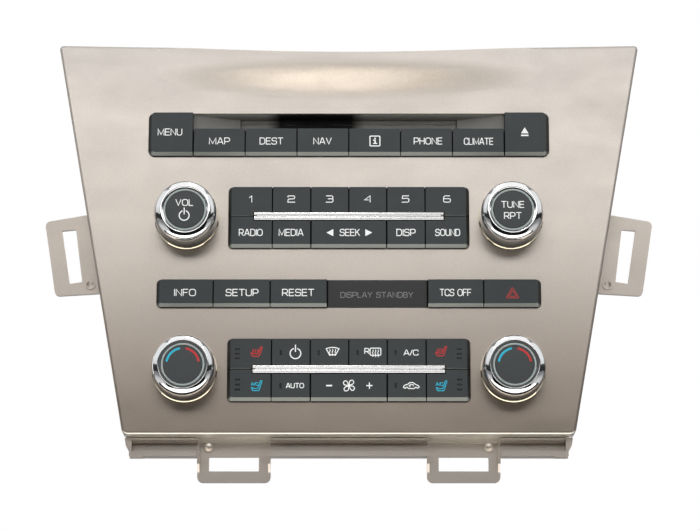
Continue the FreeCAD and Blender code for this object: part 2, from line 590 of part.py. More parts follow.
def make_halo(x, z, stepped):
    h1 = 19.9 if stepped else 21.7
    return revolve([(SLEEVE_BORE_R + 0.1, 13.8), (HALO_R_OUT, 13.8), (HALO_R_OUT, h1 - 0.35), (HALO_R_OUT - 0.35, h1), (HALO_R_IN + 0.25, h1), (HALO_R_IN, h1 - 0.25),
                    (HALO_R_IN, 15.0), (SLEEVE_BORE_R + 0.1, 15.0)], x, z)


def make_cap(x, z, stepped):
    h1 = 20.3 if stepped else 22.1
    er = 0.5                                            # edge radius
    crown = [(r, h1 - CAP_CROWN * (r / CAP_R) ** 2) for r in (0.0, 2.1, 4.2, 6.3, 8.4, CAP_R - er)]
    ze = crown[-1][1]
    edge = [(CAP_R - er + er * math.sin(t), ze - er * (1 - math.cos(t))) for t in (0.0, 0.4, 0.8, 1.2, math.pi / 2)]
    pts = [(0.0, -3.2), crown, edge, (CAP_R, h1 - 2.6), (9.6, h1 - 2.6), (9.4, h1 - 1.9), (6.0, h1 - 1.9), (CAP_STEM_R, h1 - 3.2), (CAP_STEM_R, -3.2)]
    return revolve(pts, x, z)


def make_encoders():
    out = []
    for s in (-1, 1):
        for z in (KNOB_Z_UP, KNOB_Z_LOW):
            x = s * KNOB_X
            b = fuse([box(x - 8, x + 8, -12.2, BOARD_FRONT_Y, z - 8, z + 8), cyl(SLEEVE_R, FRONT_Y - 13.8, -12.0, x, z)])
            out.append(b.cut(cyl(SLEEVE_BORE_R, -50, FRONT_Y + 4.4, x, z)))
    return Part.makeCompound(out)


# ---- board, mat, components, cover, connector, screws --------------------
def make_board():
    b = prism(BOARD, 4.0, BOARD_FRONT_Y, BOARD_BACK_Y)
    return b.cut(Part.makeCompound([cyl(SCREW_R + 0.2, -20, 0, x, z) for (x, z) in BOARD_SCREWS]))


def make_mat():
    b = prism([(-110.5, -98.5), (110.5, -98.5), (126, 73), (-126, 73)], 4.0, MAT_FRONT_Y, MAT_BACK_Y)
    domes = [cone(1.9, 2.8, MAT_FRONT_Y - DOME_H, MAT_FRONT_Y + 0.1, x, z) for (n, x, z, r) in stem_points()]
    cuts = [cyl(4.5, -20, 0, x, z) for (x, z) in BOARD_SCREWS]
    for s in (-1, 1):
        for z in (KNOB_Z_UP, KNOB_Z_LOW):
            cuts.append(box(s * KNOB_X - 8.6, s * KNOB_X + 8.6, -20, 0, z - 8.6, z + 8.6))
    return fuse([b] + domes).cut(Part.makeCompound(cuts))


COMPONENTS = []
for (x, z, w, h, t) in ((30, -15, 22, 22, 2.4), (62, -20, 14, 14, 1.8), (-70, 10, 12, 12, 1.6), (-62, -60, 16, 10, 2.2), (20, -62, 10, 8, 1.8), (70, 40, 18, 8, 2.0), (-20, 40, 9, 7, 1.5)):
    COMPONENTS.append(box(x - w / 2.0, x + w / 2.0, BOARD_BACK_Y, BOARD_BACK_Y + t, z - h / 2.0, z + h / 2.0))
for (x, z, r, t) in ((88, 0, 4.0, 9.0), (88, 12, 4.0, 9.0), (-92, -30, 5.0, 11.0), (48, 22, 3.0, 7.0), (-40, 20, 3.0, 7.0), (90, -84, 4.0, 9.0), (-30, -80, 3.0, 7.0)):
    COMPONENTS.append(cyl(r, BOARD_BACK_Y, BOARD_BACK_Y + t, x, z))

COVER_FLANGE = [(-116.2, -101.5), (116.2, -101.5), (124.5, 70.4), (-124.5, 70.4)]
COVER_WALL = [(-97.8, -91.4), (97.8, -91.4), (107.8, 60.4), (-107.8, 60.4)]
CONN = dict(x=(-62.0, -14.0), z=(-28.0, -12.0))


def inset_poly(pts, d):
    cx, cz = sum(p[0] for p in pts) / 4.0, sum(p[1] for p in pts) / 4.0
    return [(x - math.copysign(d, x - cx), z - math.copysign(d, z - cz)) for (x, z) in pts]


def make_cover():
    flange = prism(COVER_FLANGE, 6.0, PLATE_BACK_Y, PLATE_BACK_Y + 2.0)
    shell = prism(COVER_WALL, 6.0, SEAT_Y - 2.4, COVER_BACK_Y)
    shell = round_front(shell, COVER_BACK_Y, 2.5)
    body = fuse([flange, shell])
    body = body.cut(prism(inset_poly(COVER_WALL, 2.0), 4.0, SEAT_Y - 3, COVER_BACK_Y - 2.0))
    ribs = [box(-86, 86, COVER_BACK_Y - 3.6, COVER_BACK_Y - 1.8, z - 0.8, z + 0.8) for z in (-70, -40, 20, 44)]
    body = fuse([body] + ribs)
    cuts = []
    for x in range(24, 84, 6):
        for (z0, z1) in ((-6, 12), (26, 38)):
            cuts.append(prism(rect(x - 1.1, x + 1.1, z0, z1), 1.0, 0, 30))
    for x in range(-84, -24, 6):
        cuts.append(prism(rect(x - 1.1, x + 1.1, 26, 38), 1.0, 0, 30))
        cuts.append(prism(rect(x - 1.1, x + 1.1, -64, -46), 1.0, 0, 30))
    cuts.append(box(CONN["x"][0] - 0.3, CONN["x"][1] + 0.3, 0, 30, CONN["z"][0] - 0.3, CONN["z"][1] + 0.3))
    for (x, z) in COVER_SCREWS:
        cuts.append(cyl(SCREW_R + 0.2, -10, 10, x, z))
    return body.cut(Part.makeCompound(cuts))


def make_connector():
    x0, x1 = CONN["x"]
    z0, z1 = CONN["z"]
    body = box(x0, x1, BOARD_BACK_Y, 17.0, z0, z1)
    body = body.cut(box(x0 + 1.6, x1 - 1.6, 3.0, 18.0, z0 + 1.6, z1 - 1.6))
    body = body.cut(box(x0 + 20, x1 - 20, 9.0, 18.0, z1 - 2.0, z1 + 1.0))
    zc = (z0 + z1) / 2
    pins = []
    n = 10
    for i in range(n):
        for dz in (-2.6, 2.6):
            px = x0 + 6.0 + i * (x1 - x0 - 12.0) / (n - 1)
            pins.append(box(px - 0.4, px + 0.4, 2.0, 9.0, zc + dz - 0.4, zc + dz + 0.4))
    return fuse([body] + pins)


def screw(x, z, y_head):
    head = cyl(SCREW_HEAD_R, y_head, y_head + SCREW_HEAD_H, x, z)
    head = head.makeFillet(0.5, [e for e in head.Edges if abs(e.CenterOfMass.y - (y_head + SCREW_HEAD_H)) < 1e-6])
    cross = [box(x - 1.5, x + 1.5, y_head + 0.9, y_head + 3, z - 0.28, z + 0.28), box(x - 0.28, x + 0.28, y_head + 0.9, y_head + 3, z - 1.5, z + 1.5)]
    tip = cone(1.0, SCREW_R, y_head - SCREW_L, y_head - SCREW_L + 0.6, x, z)
    shank = fuse([cyl(SCREW_R, y_head - SCREW_L + 0.6, y_head + 0.2, x, z), tip])
    return fuse([head, shank]).cut(Part.makeCompound(cross))


def make_screws():
    out = [screw(x, z, BOARD_BACK_Y) for (x, z) in BOARD_SCREWS]
    out += [screw(x, z, PLATE_BACK_Y) for (x, z) in FRAME_SCREWS]
    out += [screw(x, z, PLATE_BACK_Y + 2.0) for (x, z) in COVER_SCREWS]
    return Part.makeCompound(out), len(out)


# ---- write the parts ----------------------------------------------------
save("fascia", make_fascia())
save("mounting_frame", make_frame())
save("button_carrier", make_carrier())
save("slot_trim", make_slot_trim())
save("audio_bar", make_bar(BAR_Z_UP))
save("climate_bar", make_bar(BAR_Z_LOW))
lens = prism(rect(-12.2, 45.3, -33.2, -17.3), 0.6, FRONT_Y - 0.5, CARRIER_FRONT_Y)
save("indicator_lens", round_front(lens, FRONT_Y - 0.5, 0.3))
for n, k in KEYS.items():
    save(n, make_key(k))
save("volume_knob", make_knob(-KNOB_X, KNOB_Z_UP, False))
save("tune_knob", make_knob(KNOB_X, KNOB_Z_UP, False))
save("left_temperature_knob", make_knob(-KNOB_X, KNOB_Z_LOW, True))
save("right_temperature_knob", make_knob(KNOB_X, KNOB_Z_LOW, True))
save("volume_button", make_cap(-KNOB_X, KNOB_Z_UP, False))
save("tune_button", make_cap(KNOB_X, KNOB_Z_UP, False))
save("left_temperature_cap", make_cap(-KNOB_X, KNOB_Z_LOW, True))
save("right_temperature_cap", make_cap(KNOB_X, KNOB_Z_LOW, True))
save("halo_rings", Part.makeCompound([make_halo(s * KNOB_X, z, z == KNOB_Z_LOW) for s in (-1, 1) for z in (KNOB_Z_UP, KNOB_Z_LOW)]), 4)
save("encoder_bodies", make_encoders(), 4)
save("key_mat", make_mat())
save("control_board", make_board())
save("board_components", Part.makeCompound(COMPONENTS), len(COMPONENTS))
save("rear_cover", make_cover())
save("rear_connector", make_connector())
scr, n_scr = make_screws()
save("screws", scr, n_scr)
print(len(MADE), "parts")
for n, v in MADE:
    print("%-26s %10.1f" % (n, v))
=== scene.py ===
import bpy, bmesh, json, math
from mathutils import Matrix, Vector

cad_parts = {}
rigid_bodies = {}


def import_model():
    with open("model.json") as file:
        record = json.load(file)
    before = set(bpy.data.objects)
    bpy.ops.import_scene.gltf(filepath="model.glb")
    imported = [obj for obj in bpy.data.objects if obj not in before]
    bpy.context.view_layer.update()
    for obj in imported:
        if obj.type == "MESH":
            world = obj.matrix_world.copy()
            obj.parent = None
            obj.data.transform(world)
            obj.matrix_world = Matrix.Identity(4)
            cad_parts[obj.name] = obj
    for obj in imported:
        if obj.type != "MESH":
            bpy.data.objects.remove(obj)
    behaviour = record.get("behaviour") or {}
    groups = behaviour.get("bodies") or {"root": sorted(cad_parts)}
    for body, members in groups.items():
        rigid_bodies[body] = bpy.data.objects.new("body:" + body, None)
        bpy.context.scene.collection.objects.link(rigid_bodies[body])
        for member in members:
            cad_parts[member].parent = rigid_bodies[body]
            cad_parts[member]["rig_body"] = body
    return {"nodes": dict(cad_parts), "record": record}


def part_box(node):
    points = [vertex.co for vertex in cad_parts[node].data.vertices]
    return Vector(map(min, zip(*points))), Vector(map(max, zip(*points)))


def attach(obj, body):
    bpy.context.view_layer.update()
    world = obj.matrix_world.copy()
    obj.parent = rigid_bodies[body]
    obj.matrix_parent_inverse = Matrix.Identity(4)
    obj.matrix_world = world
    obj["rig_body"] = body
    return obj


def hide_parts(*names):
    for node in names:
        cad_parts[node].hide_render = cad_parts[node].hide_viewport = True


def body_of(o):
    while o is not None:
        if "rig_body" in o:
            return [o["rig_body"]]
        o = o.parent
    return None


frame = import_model()
bpy.context.view_layer.update()
NODES = frame["nodes"]
SCENE = bpy.context.scene
MM = 0.001

# y of each surface that carries a print, in mm
KEY_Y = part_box("map_key")[0].y / MM
LENS_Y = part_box("indicator_lens")[0].y / MM
CAP_TOP = {"volume_button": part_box("volume_button")[0].y / MM, "tune_button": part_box("tune_button")[0].y / MM,
           "left_temperature_cap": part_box("left_temperature_cap")[0].y / MM, "right_temperature_cap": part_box("right_temperature_cap")[0].y / MM}


# ------------------------------------------------------------------ materials
def srgb(r, g, b):
    out = []
    for c in (r, g, b):
        c = c / 255.0
        out.append(c / 12.92 if c <= 0.04045 else ((c + 0.055) / 1.055) ** 2.4)
    return tuple(out) + (1.0,)


class Mat:
    """A node material with short helpers."""

    def __init__(self, name):
        self.m = bpy.data.materials.new(name)
        self.m.use_nodes = True
        self.t = self.m.node_tree
        self.b = self.t.nodes["Principled BSDF"]
        self.coord = self.t.nodes.new("ShaderNodeTexCoord")

    def node(self, kind, **kw):
        n = self.t.nodes.new(kind)
        for k, v in kw.items():
            if k in n.inputs:
                n.inputs[k].default_value = v
            else:
                setattr(n, k, v)
        return n

    def link(self, a, b):
        self.t.links.new(a, b)

    def noise(self, scale, detail=3.0, rough=0.55, stretch=None):
        n = self.node("ShaderNodeTexNoise", Scale=scale, Detail=detail, Roughness=rough)
        src = self.coord.outputs["Object"]
        if stretch:
            mp = self.node("ShaderNodeMapping")
            mp.inputs["Scale"].default_value = stretch
            self.link(src, mp.inputs["Vector"])
            src = mp.outputs["Vector"]
        self.link(src, n.inputs["Vector"])
        return n.outputs["Fac"]

    def cells(self, scale, feature="F1", out="Color"):
        n = self.node("ShaderNodeTexVoronoi", Scale=scale)
        n.feature = feature
        self.link(self.coord.outputs["Object"], n.inputs["Vector"])
        return n.outputs[out]

    def ramp(self, fac, stops):
        r = self.node("ShaderNodeValToRGB")
        e = r.color_ramp.elements
        while len(e) < len(stops):
            e.new(0.5)
        for i, (p, c) in enumerate(stops):
            e[i].position = p
            e[i].color = c if len(c) == 4 else tuple(c) + (1.0,)
        self.link(fac, r.inputs["Fac"])
        return r.outputs["Color"]

    def span(self, fac, a, b, lo=0.0, hi=1.0):
        r = self.node("ShaderNodeMapRange")
        r.inputs["From Min"].default_value = lo
        r.inputs["From Max"].default_value = hi
        r.inputs["To Min"].default_value = a
        r.inputs["To Max"].default_value = b
        self.link(fac, r.inputs["Value"])
        return r.outputs["Result"]

    def mix(self, fac, a, b, mode="MIX"):
        n = self.node("ShaderNodeMix")
        n.data_type = "RGBA"
        n.blend_type = mode
        if isinstance(fac, float):
            n.inputs["Factor"].default_value = fac
        else:
            self.link(fac, n.inputs["Factor"])
        for key, v in (("A", a), ("B", b)):
            sock = [s for s in n.inputs if s.name == key and s.type == "RGBA"][0]
            if isinstance(v, tuple):
                sock.default_value = v
            else:
                self.link(v, sock)
        return [s for s in n.outputs if s.type == "RGBA"][0]

    def facing(self, axis):
        """How far the surface looks along +X, +Y or +Z, from -1 to 1, in the piece's own axes."""
        sep = self.node("ShaderNodeSeparateXYZ")
        self.link(self.coord.outputs["Normal"], sep.inputs["Vector"])
        return sep.outputs[axis]

    def at(self, axis):
        """Distance along X, Y or Z in metres, in the piece's own axes."""
        sep = self.node("ShaderNodeSeparateXYZ")
        self.link(self.coord.outputs["Object"], sep.inputs["Vector"])
        return sep.outputs[axis]

    def bump(self, height, strength, distance, normal=None):
        n = self.node("ShaderNodeBump")
        n.inputs["Strength"].default_value = strength
        n.inputs["Distance"].default_value = distance
        self.link(height, n.inputs["Height"])
        if normal is not None:
            self.link(normal, n.inputs["Normal"])
        return n.outputs["Normal"]

    def set(self, **kw):
        for k, v in kw.items():
            s = self.b.inputs[k.replace("_", " ")]
            if hasattr(v, "is_linked") or isinstance(v, bpy.types.NodeSocket):
                self.link(v, s)
            else:
                s.default_value = v
        return self


def grained(name, color, dark, rough=(0.42, 0.55), grain=2600.0, depth=0.00002, strength=0.35, metallic=0.0, coat=None, spec=0.5):
    """Moulded or coated plastic: fine grain, soft mottling in tone and gloss."""
    m = Mat(name)
    big = m.noise(38.0, 3.0)
    fine = m.noise(grain, 2.0, 0.6)
    col = m.mix(big, dark, color)
    m.set(Base_Color=col, Roughness=m.span(m.noise(120.0, 4.0, 0.65), rough[0], rough[1], 0.3, 0.7), Metallic=metallic)
    m.b.inputs["Specular IOR Level"].default_value = spec
    m.set(Normal=m.bump(fine, strength, depth))
    if coat:
        m.b.inputs["Coat Weight"].default_value = coat[0]
        m.b.inputs["Coat Roughness"].default_value = coat[1]
    return m.m


def key_finish_and_painted_shade(name, color, dark):
    """Soft-touch coated key: fine grain, a paler foot bevel that is a painted floor reflection, darker flanks and side
    walls that are painted shade.
    """
    m = Mat(name)
    col = m.mix(m.noise(38.0, 3.0), dark, color)
    # painted reflection: the downward-facing foot bevel is lightened to pale grey-green
    col = m.mix(m.span(m.facing("Z"), 1.0, 0.0, -0.62, -0.28), col, srgb(142, 146, 140))
    # painted shade: faces not turned to the front are darkened to near black
    col = m.mix(m.span(m.facing("Y"), 0.0, 1.0, -0.60, -0.20), col, srgb(14, 14, 14))
    flank = m.node("ShaderNodeMath")
    flank.operation = "ABSOLUTE"
    m.link(m.facing("X"), flank.inputs[0])
    # painted shade: flanks facing sideways are darkened
    col = m.mix(m.span(flank.outputs[0], 0.0, 0.85, 0.30, 0.66), col, srgb(20, 21, 21))
    m.set(Base_Color=col, Roughness=m.span(m.noise(120.0, 4.0, 0.65), 0.40, 0.52, 0.3, 0.7), Normal=m.bump(m.noise(3400.0, 2.0, 0.6), 0.30, 0.000018))
    return m.m


def paint(name, color, dark, metallic=0.90, rough=0.32, coat=0.25, scoop=False):
    """Champagne silver metallic paint: tiny flakes, faint handling smudges, thin satin lacquer; with scoop set it also
    carries painted shade by height, a painted tan reflection tint over the scoop and a painted highlight on downward
    faces.
    """
    m = Mat(name)
    flake = m.cells(4200.0)
    sep = m.node("ShaderNodeSeparateColor")
    m.link(flake, sep.inputs["Color"])
    tone = m.mix(m.noise(9.0, 4.0, 0.6), dark, color)
    spark = m.span(sep.outputs["Red"], 0.93, 1.07)
    comb = m.node("ShaderNodeCombineColor")
    for k in ("Red", "Green", "Blue"):
        m.link(spark, comb.inputs[k])
    col = m.mix(1.0, tone, comb.outputs["Color"], "MULTIPLY")
    if scoop:
        # painted reflection: a speckled tan tint over the scoop's oval, standing in for the paint's metallic flop
        mp = m.node("ShaderNodeMapping")
        mp.inputs["Location"].default_value = (0.0, 0.0, -7.35)
        mp.inputs["Scale"].default_value = (9.1, 0.0, 69.0)
        m.link(m.coord.outputs["Object"], mp.inputs["Vector"])
        reach = m.node("ShaderNodeVectorMath")
        reach.operation = "LENGTH"
        m.link(mp.outputs["Vector"], reach.inputs[0])
        speckle = m.span(m.noise(900.0, 3.0, 0.7), 0.75, 1.0, 0.35, 0.65)
        scoop_painted_tint = m.node("ShaderNodeMath")
        scoop_painted_tint.operation = "MULTIPLY"
        m.link(m.span(reach.outputs["Value"], 0.62, 0.0, 0.45, 1.05), scoop_painted_tint.inputs[0])
        m.link(speckle, scoop_painted_tint.inputs[1])
        col = m.mix(scoop_painted_tint.outputs[0], col, srgb(150, 132, 110))
        # painted shade: the fascia darkens towards the bottom and a little towards the top
        shade = m.ramp(m.span(m.at("Z"), 0.0, 1.0, -0.11, 0.125), [(0.0, (0.62, 0.575, 0.53)), (0.20, (0.80, 0.77, 0.745)), (0.45, (1.0, 1.0, 1.0)), (0.70, (0.975, 0.985, 0.995)), (1.0, (0.80, 0.815, 0.835))])
        col = m.mix(1.0, col, shade, "MULTIPLY")
        # painted highlight: downward-facing faces are lightened to near white, a painted floor reflection
        col = m.mix(m.span(m.facing("Z"), 1.0, 0.0, -0.75, -0.25), col, srgb(250, 247, 238))
    smudge = m.noise(30.0, 5.0, 0.62, (1.0, 1.0, 2.2))
    m.set(Base_Color=col, Metallic=metallic,
          Roughness=m.span(smudge, rough - 0.03, rough + 0.05, 0.3, 0.7),
          Normal=m.bump(m.noise(5200.0, 2.0, 0.6), 0.10, 0.00001, m.bump(m.noise(420.0, 3.0, 0.5), 0.05, 0.00003)))
    m.b.inputs["Coat Weight"].default_value = coat
    m.b.inputs["Coat Roughness"].default_value = 0.28
    return m.m


def chrome(name, tint=(0.90, 0.905, 0.91, 1.0), rough=(0.03, 0.07)):
    """Bright plating: polishing haze, slight ripple of plated plastic."""
    m = Mat(name)
    haze = m.noise(160.0, 5.0, 0.7)
    m.set(Base_Color=m.mix(haze, (tint[0] * 0.94, tint[1] * 0.94, tint[2] * 0.95, 1), tint), Metallic=1.0,
          Roughness=m.span(haze, rough[0], rough[1], 0.35, 0.75),
          Normal=m.bump(m.noise(90.0, 2.0), 0.010, 0.00004))
    return m.m


M = {}
M["champagne_paint"] = paint("champagne_paint", srgb(215, 206, 197), srgb(209, 199, 189), scoop=True)
M["champagne_frame"] = paint("champagne_frame", srgb(206, 197, 188), srgb(198, 188, 178), 0.80, 0.34, 0.15)
M["key_plastic"] = key_finish_and_painted_shade("key_plastic", srgb(58, 63, 65), srgb(51, 56, 58))
M["cap_black"] = grained("cap_black", srgb(68, 72, 74), srgb(60, 64, 66), (0.42, 0.52), 3600.0, 0.000015, 0.25)
M["black_plastic"] = grained("black_plastic", srgb(34, 34, 35), srgb(26, 26, 27), (0.5, 0.65), 2200.0, 0.00003, 0.4)
def slot_tone_and_painted_reflection(name, color, dark, rough):
    """Lining of the disc mouth: mottled pale grey, a painted reflection on a black part, with a painted dark reflection
    in a band near the middle.
    """
    m = Mat(name)
    col = m.mix(m.noise(45.0, 3.0), dark, color)
    # painted dark reflection: a black band near the middle, fading out at its ends
    off = m.node("ShaderNodeMath")
    off.operation = "ADD"
    off.inputs[1].default_value = 0.0195
    m.link(m.at("X"), off.inputs[0])
    side = m.node("ShaderNodeMath")
    side.operation = "ABSOLUTE"
    m.link(off.outputs[0], side.inputs[0])
    col = m.mix(m.span(side.outputs[0], 1.0, 0.0, 0.021, 0.029), col, srgb(12, 11, 10))
    m.set(Base_Color=col, Roughness=m.span(m.noise(120.0, 4.0, 0.65), rough[0], rough[1], 0.3, 0.7), Normal=m.bump(m.noise(2600.0, 2.0, 0.6), 0.3, 0.00002))
    return m.m


# the pale grey of the lining is a painted reflection; the part itself is black
M["slot_black"] = slot_tone_and_painted_reflection("slot_black", srgb(158, 155, 150), srgb(140, 138, 134), (0.45, 0.60))
M["lens_black"] = grained("lens_black", srgb(35, 36, 36), srgb(29, 30, 31), (0.33, 0.42), 2800.0, 0.000015, 0.3, coat=(0.3, 0.2))
M["chrome"] = chrome("chrome")
def knob_chrome():
    """Plating with a painted dark reflection on the lower wall and a painted warm reflection of the fascia on the foot
    ring.
    """
    m = Mat("knob_chrome")
    haze = m.noise(160.0, 5.0, 0.7)
    col = m.mix(haze, (0.85, 0.86, 0.865, 1), (0.90, 0.905, 0.915, 1))
    # painted reflection: the lower wall darkened to a smoky grey
    col = m.mix(m.span(m.at("Y"), 0.0, 1.0, -0.0330, -0.0270), col, (0.30, 0.31, 0.29, 1))
    # painted reflection: the foot ring tinted warm gold, as the fascia's reflection
    col = m.mix(m.span(m.at("Y"), 0.0, 1.0, -0.0222, -0.0214), col, (0.80, 0.72, 0.56, 1))
    m.set(Base_Color=col, Metallic=1.0, Roughness=m.span(haze, 0.03, 0.06, 0.35, 0.75), Normal=m.bump(m.noise(90.0, 2.0), 0.010, 0.00004))
    return m.m


M["knob_chrome"] = knob_chrome()
def bar_chrome():
    m = Mat("bar_chrome")
    haze = m.noise(60.0, 3.0, 0.6)
    m.set(Base_Color=m.mix(haze, (0.80, 0.805, 0.81, 1), (0.84, 0.845, 0.85, 1)), Metallic=1.0, Roughness=m.span(haze, 0.19, 0.23, 0.35, 0.75))
    return m.m


M["bar_chrome"] = bar_chrome()
M["encoder_metal"] = chrome("encoder_metal", (0.62, 0.61, 0.58, 1.0), (0.28, 0.42))
M["screw_steel"] = chrome("screw_steel", (0.72, 0.70, 0.64, 1.0), (0.22, 0.38))
M["cover_black"] = grained("cover_black", srgb(48, 49, 50), srgb(38, 39, 40), (0.55, 0.7), 1500.0, 0.00006, 0.6)
M["component_black"] = grained("component_black", srgb(44, 44, 46), srgb(34, 34, 36), (0.45, 0.6), 2400.0, 0.00003, 0.4)
M["connector_grey"] = grained("connector_grey", srgb(122, 123, 125), srgb(108, 109, 111), (0.45, 0.58), 2000.0, 0.00003, 0.35)
M["silicone"] = grained("silicone", srgb(214, 216, 213), srgb(200, 202, 199), (0.5, 0.62), 1600.0, 0.00003, 0.3)


def make_halo():
    m = Mat("halo_clear")
    n = m.noise(240.0, 4.0, 0.6)
    m.set(Base_Color=m.mix(n, srgb(168, 180, 178), srgb(190, 200, 198)), Roughness=m.span(n, 0.28, 0.42, 0.3, 0.7),
          Normal=m.bump(m.noise(3000.0), 0.15, 0.00001))
    m.b.inputs["Subsurface Weight"].default_value = 0.15
    m.b.inputs["Subsurface Scale"].default_value = 0.001
    m.b.inputs["Coat Weight"].default_value = 0.5
    m.b.inputs["Coat Roughness"].default_value = 0.15
    return m.m


M["halo_clear"] = make_halo()


def make_board():
    m = Mat("board_green")
    n = m.node("ShaderNodeTexBrick", Scale=150.0)
    mp = m.node("ShaderNodeMapping")
    mp.inputs["Rotation"].default_value = (math.radians(90), 0, 0)
    m.link(m.coord.outputs["Object"], mp.inputs["Vector"])
    m.link(mp.outputs["Vector"], n.inputs["Vector"])
    n.inputs["Mortar Size"].default_value = 0.035
    n.inputs["Color1"].default_value = srgb(22, 96, 52)
    n.inputs["Color2"].default_value = srgb(18, 84, 46)
    n.inputs["Mortar"].default_value = srgb(48, 128, 72)
    m.set(Base_Color=m.mix(m.noise(60.0), srgb(16, 78, 42), n.outputs["Color"]), Roughness=m.span(m.noise(90.0), 0.22, 0.34),
          Normal=m.bump(n.outputs["Fac"], 0.2, 0.00003))
    m.b.inputs["Coat Weight"].default_value = 0.4
    return m.m


M["board_green"] = make_board()


def ink(name, color, strength=0.0):
    """Printed or laser-cut legend ink with a slightly uneven edge-to-edge tone; strength adds a painted glow."""
    m = Mat(name)
    n = m.noise(900.0, 3.0, 0.6)
    dim = tuple(c * 0.86 for c in color[:3]) + (1.0,)
    m.set(Base_Color=m.mix(n, dim, color), Roughness=m.span(n, 0.38, 0.5), Normal=m.bump(m.noise(3000.0), 0.1, 0.00001))
    # painted glow: emission brightens the ink; nothing lights it from behind
    if strength:
        m.b.inputs["Emission Color"].default_value = color
        m.b.inputs["Emission Strength"].default_value = strength
    return m.m


# the third number is a painted glow that brightens each ink
INK = {
    "white": ink("ink_white", srgb(240, 242, 242), 0.30),
    "red": ink("ink_red", srgb(206, 52, 50), 0.05),
    "cyan": ink("ink_cyan", srgb(40, 186, 216), 0.10),
    "pink": ink("ink_hazard", srgb(190, 62, 60), 0.05),
    "dim": ink("ink_dim", srgb(150, 150, 150), 0.0),
}
INK["window"] = grained("led_window", srgb(36, 38, 39), srgb(28, 30, 31), (0.18, 0.26), 3000.0, 0.00001, 0.15, coat=(0.5, 0.1))
INK["rim"] = grained("led_rim", srgb(86, 91, 93), srgb(76, 80, 82), (0.35, 0.45), 3000.0, 0.00001, 0.15)


def make_felt(name, color, dark):
    m = Mat(name)
    n = m.noise(1500.0, 5.0, 0.75)
    big = m.noise(45.0, 3.0)
    col = m.mix(big, dark, color)
    col = m.mix(m.span(n, 0.0, 0.6, 0.35, 0.7), col, tuple(min(1.0, c * 1.5) for c in color[:3]) + (1.0,))
    m.set(Base_Color=col, Roughness=0.95, Normal=m.bump(n, 0.8, 0.0002))
    m.b.inputs["Sheen Weight"].default_value = 0.5
    m.b.inputs["Sheen Roughness"].default_value = 0.5
    m.b.inputs["Specular IOR Level"].default_value = 0.15
    return m.m


FELT = make_felt("felt_grey", srgb(112, 110, 106), srgb(92, 90, 87))
# the felt curtains take the lining's painted tones: pale grey painted reflection and the painted dark band near the
# middle
FELT_DARK = slot_tone_and_painted_reflection("felt_black", srgb(160, 157, 152), srgb(140, 138, 134), (0.85, 0.95))

for sub in frame["record"]["subparts"]:
    o = NODES[sub["node"]]
    m = M[sub["material_slot"]]
    o.data.materials.clear()
    o.data.materials.append(M["bar_chrome"] if sub["node"].endswith("_bar") else m)


# ------------------------------------------------------------------ mesh pieces
def link(name, bm, mat, body, smooth=False):
    me = bpy.data.meshes.new(name)
    bmesh.ops.recalc_face_normals(bm, faces=bm.faces)
    bm.to_mesh(me)
    bm.free()
    o = bpy.data.objects.new(name, me)
    SCENE.collection.objects.link(o)
    for m in (mat if isinstance(mat, (list, tuple)) else [mat]):
        me.materials.append(m)
    if smooth:
        for p in me.polygons:
            p.use_smooth = True
    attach(o, body)
    return o


def rounded(points, closed=False, seg=5):
    """Polyline through (x, z[, r]) points, with the corners that carry a radius made into arcs."""
    out = []
    n = len(points)
    for i, p in enumerate(points):
        r = p[2] if len(p) > 2 else 0.0
        if r <= 0 or (not closed and i in (0, n - 1)):
            out.append((p[0], p[1]))
            continue
        a, b = points[i - 1], points[(i + 1) % n]
        u = Vector((a[0] - p[0], a[1] - p[1]))
        w = Vector((b[0] - p[0], b[1] - p[1]))
        lu, lw = u.length, w.length
        u.normalize()
        w.normalize()
        half = max(0.05, u.angle(w) / 2)
        d = min(r / math.tan(half), lu * 0.5, lw * 0.5)
        rr = d * math.tan(half)
        c = Vector((p[0], p[1])) + (u + w).normalized() * (rr / math.sin(half))
        s, e = Vector((p[0], p[1])) + u * d, Vector((p[0], p[1])) + w * d
        a0, a1 = math.atan2(s.y - c.y, s.x - c.x), math.atan2(e.y - c.y, e.x - c.x)
        da = (a1 - a0 + math.pi) % (2 * math.pi) - math.pi
        for k in range(seg + 1):
            t = a0 + da * k / seg
            out.append((c.x + rr * math.cos(t), c.y + rr * math.sin(t)))
    clean = [out[0]]
    for q in out[1:]:
        if math.hypot(q[0] - clean[-1][0], q[1] - clean[-1][1]) > 1e-5:
            clean.append(q)
    if closed and math.hypot(clean[0][0] - clean[-1][0], clean[0][1] - clean[-1][1]) < 1e-5:
        clean.pop()
    return clean


def arc(cx, cz, r, a0, a1, n=24):
    return [(cx + r * math.cos(math.radians(a0 + (a1 - a0) * i / n)), cz + r * math.sin(math.radians(a0 + (a1 - a0) * i / n))) for i in range(n + 1)]


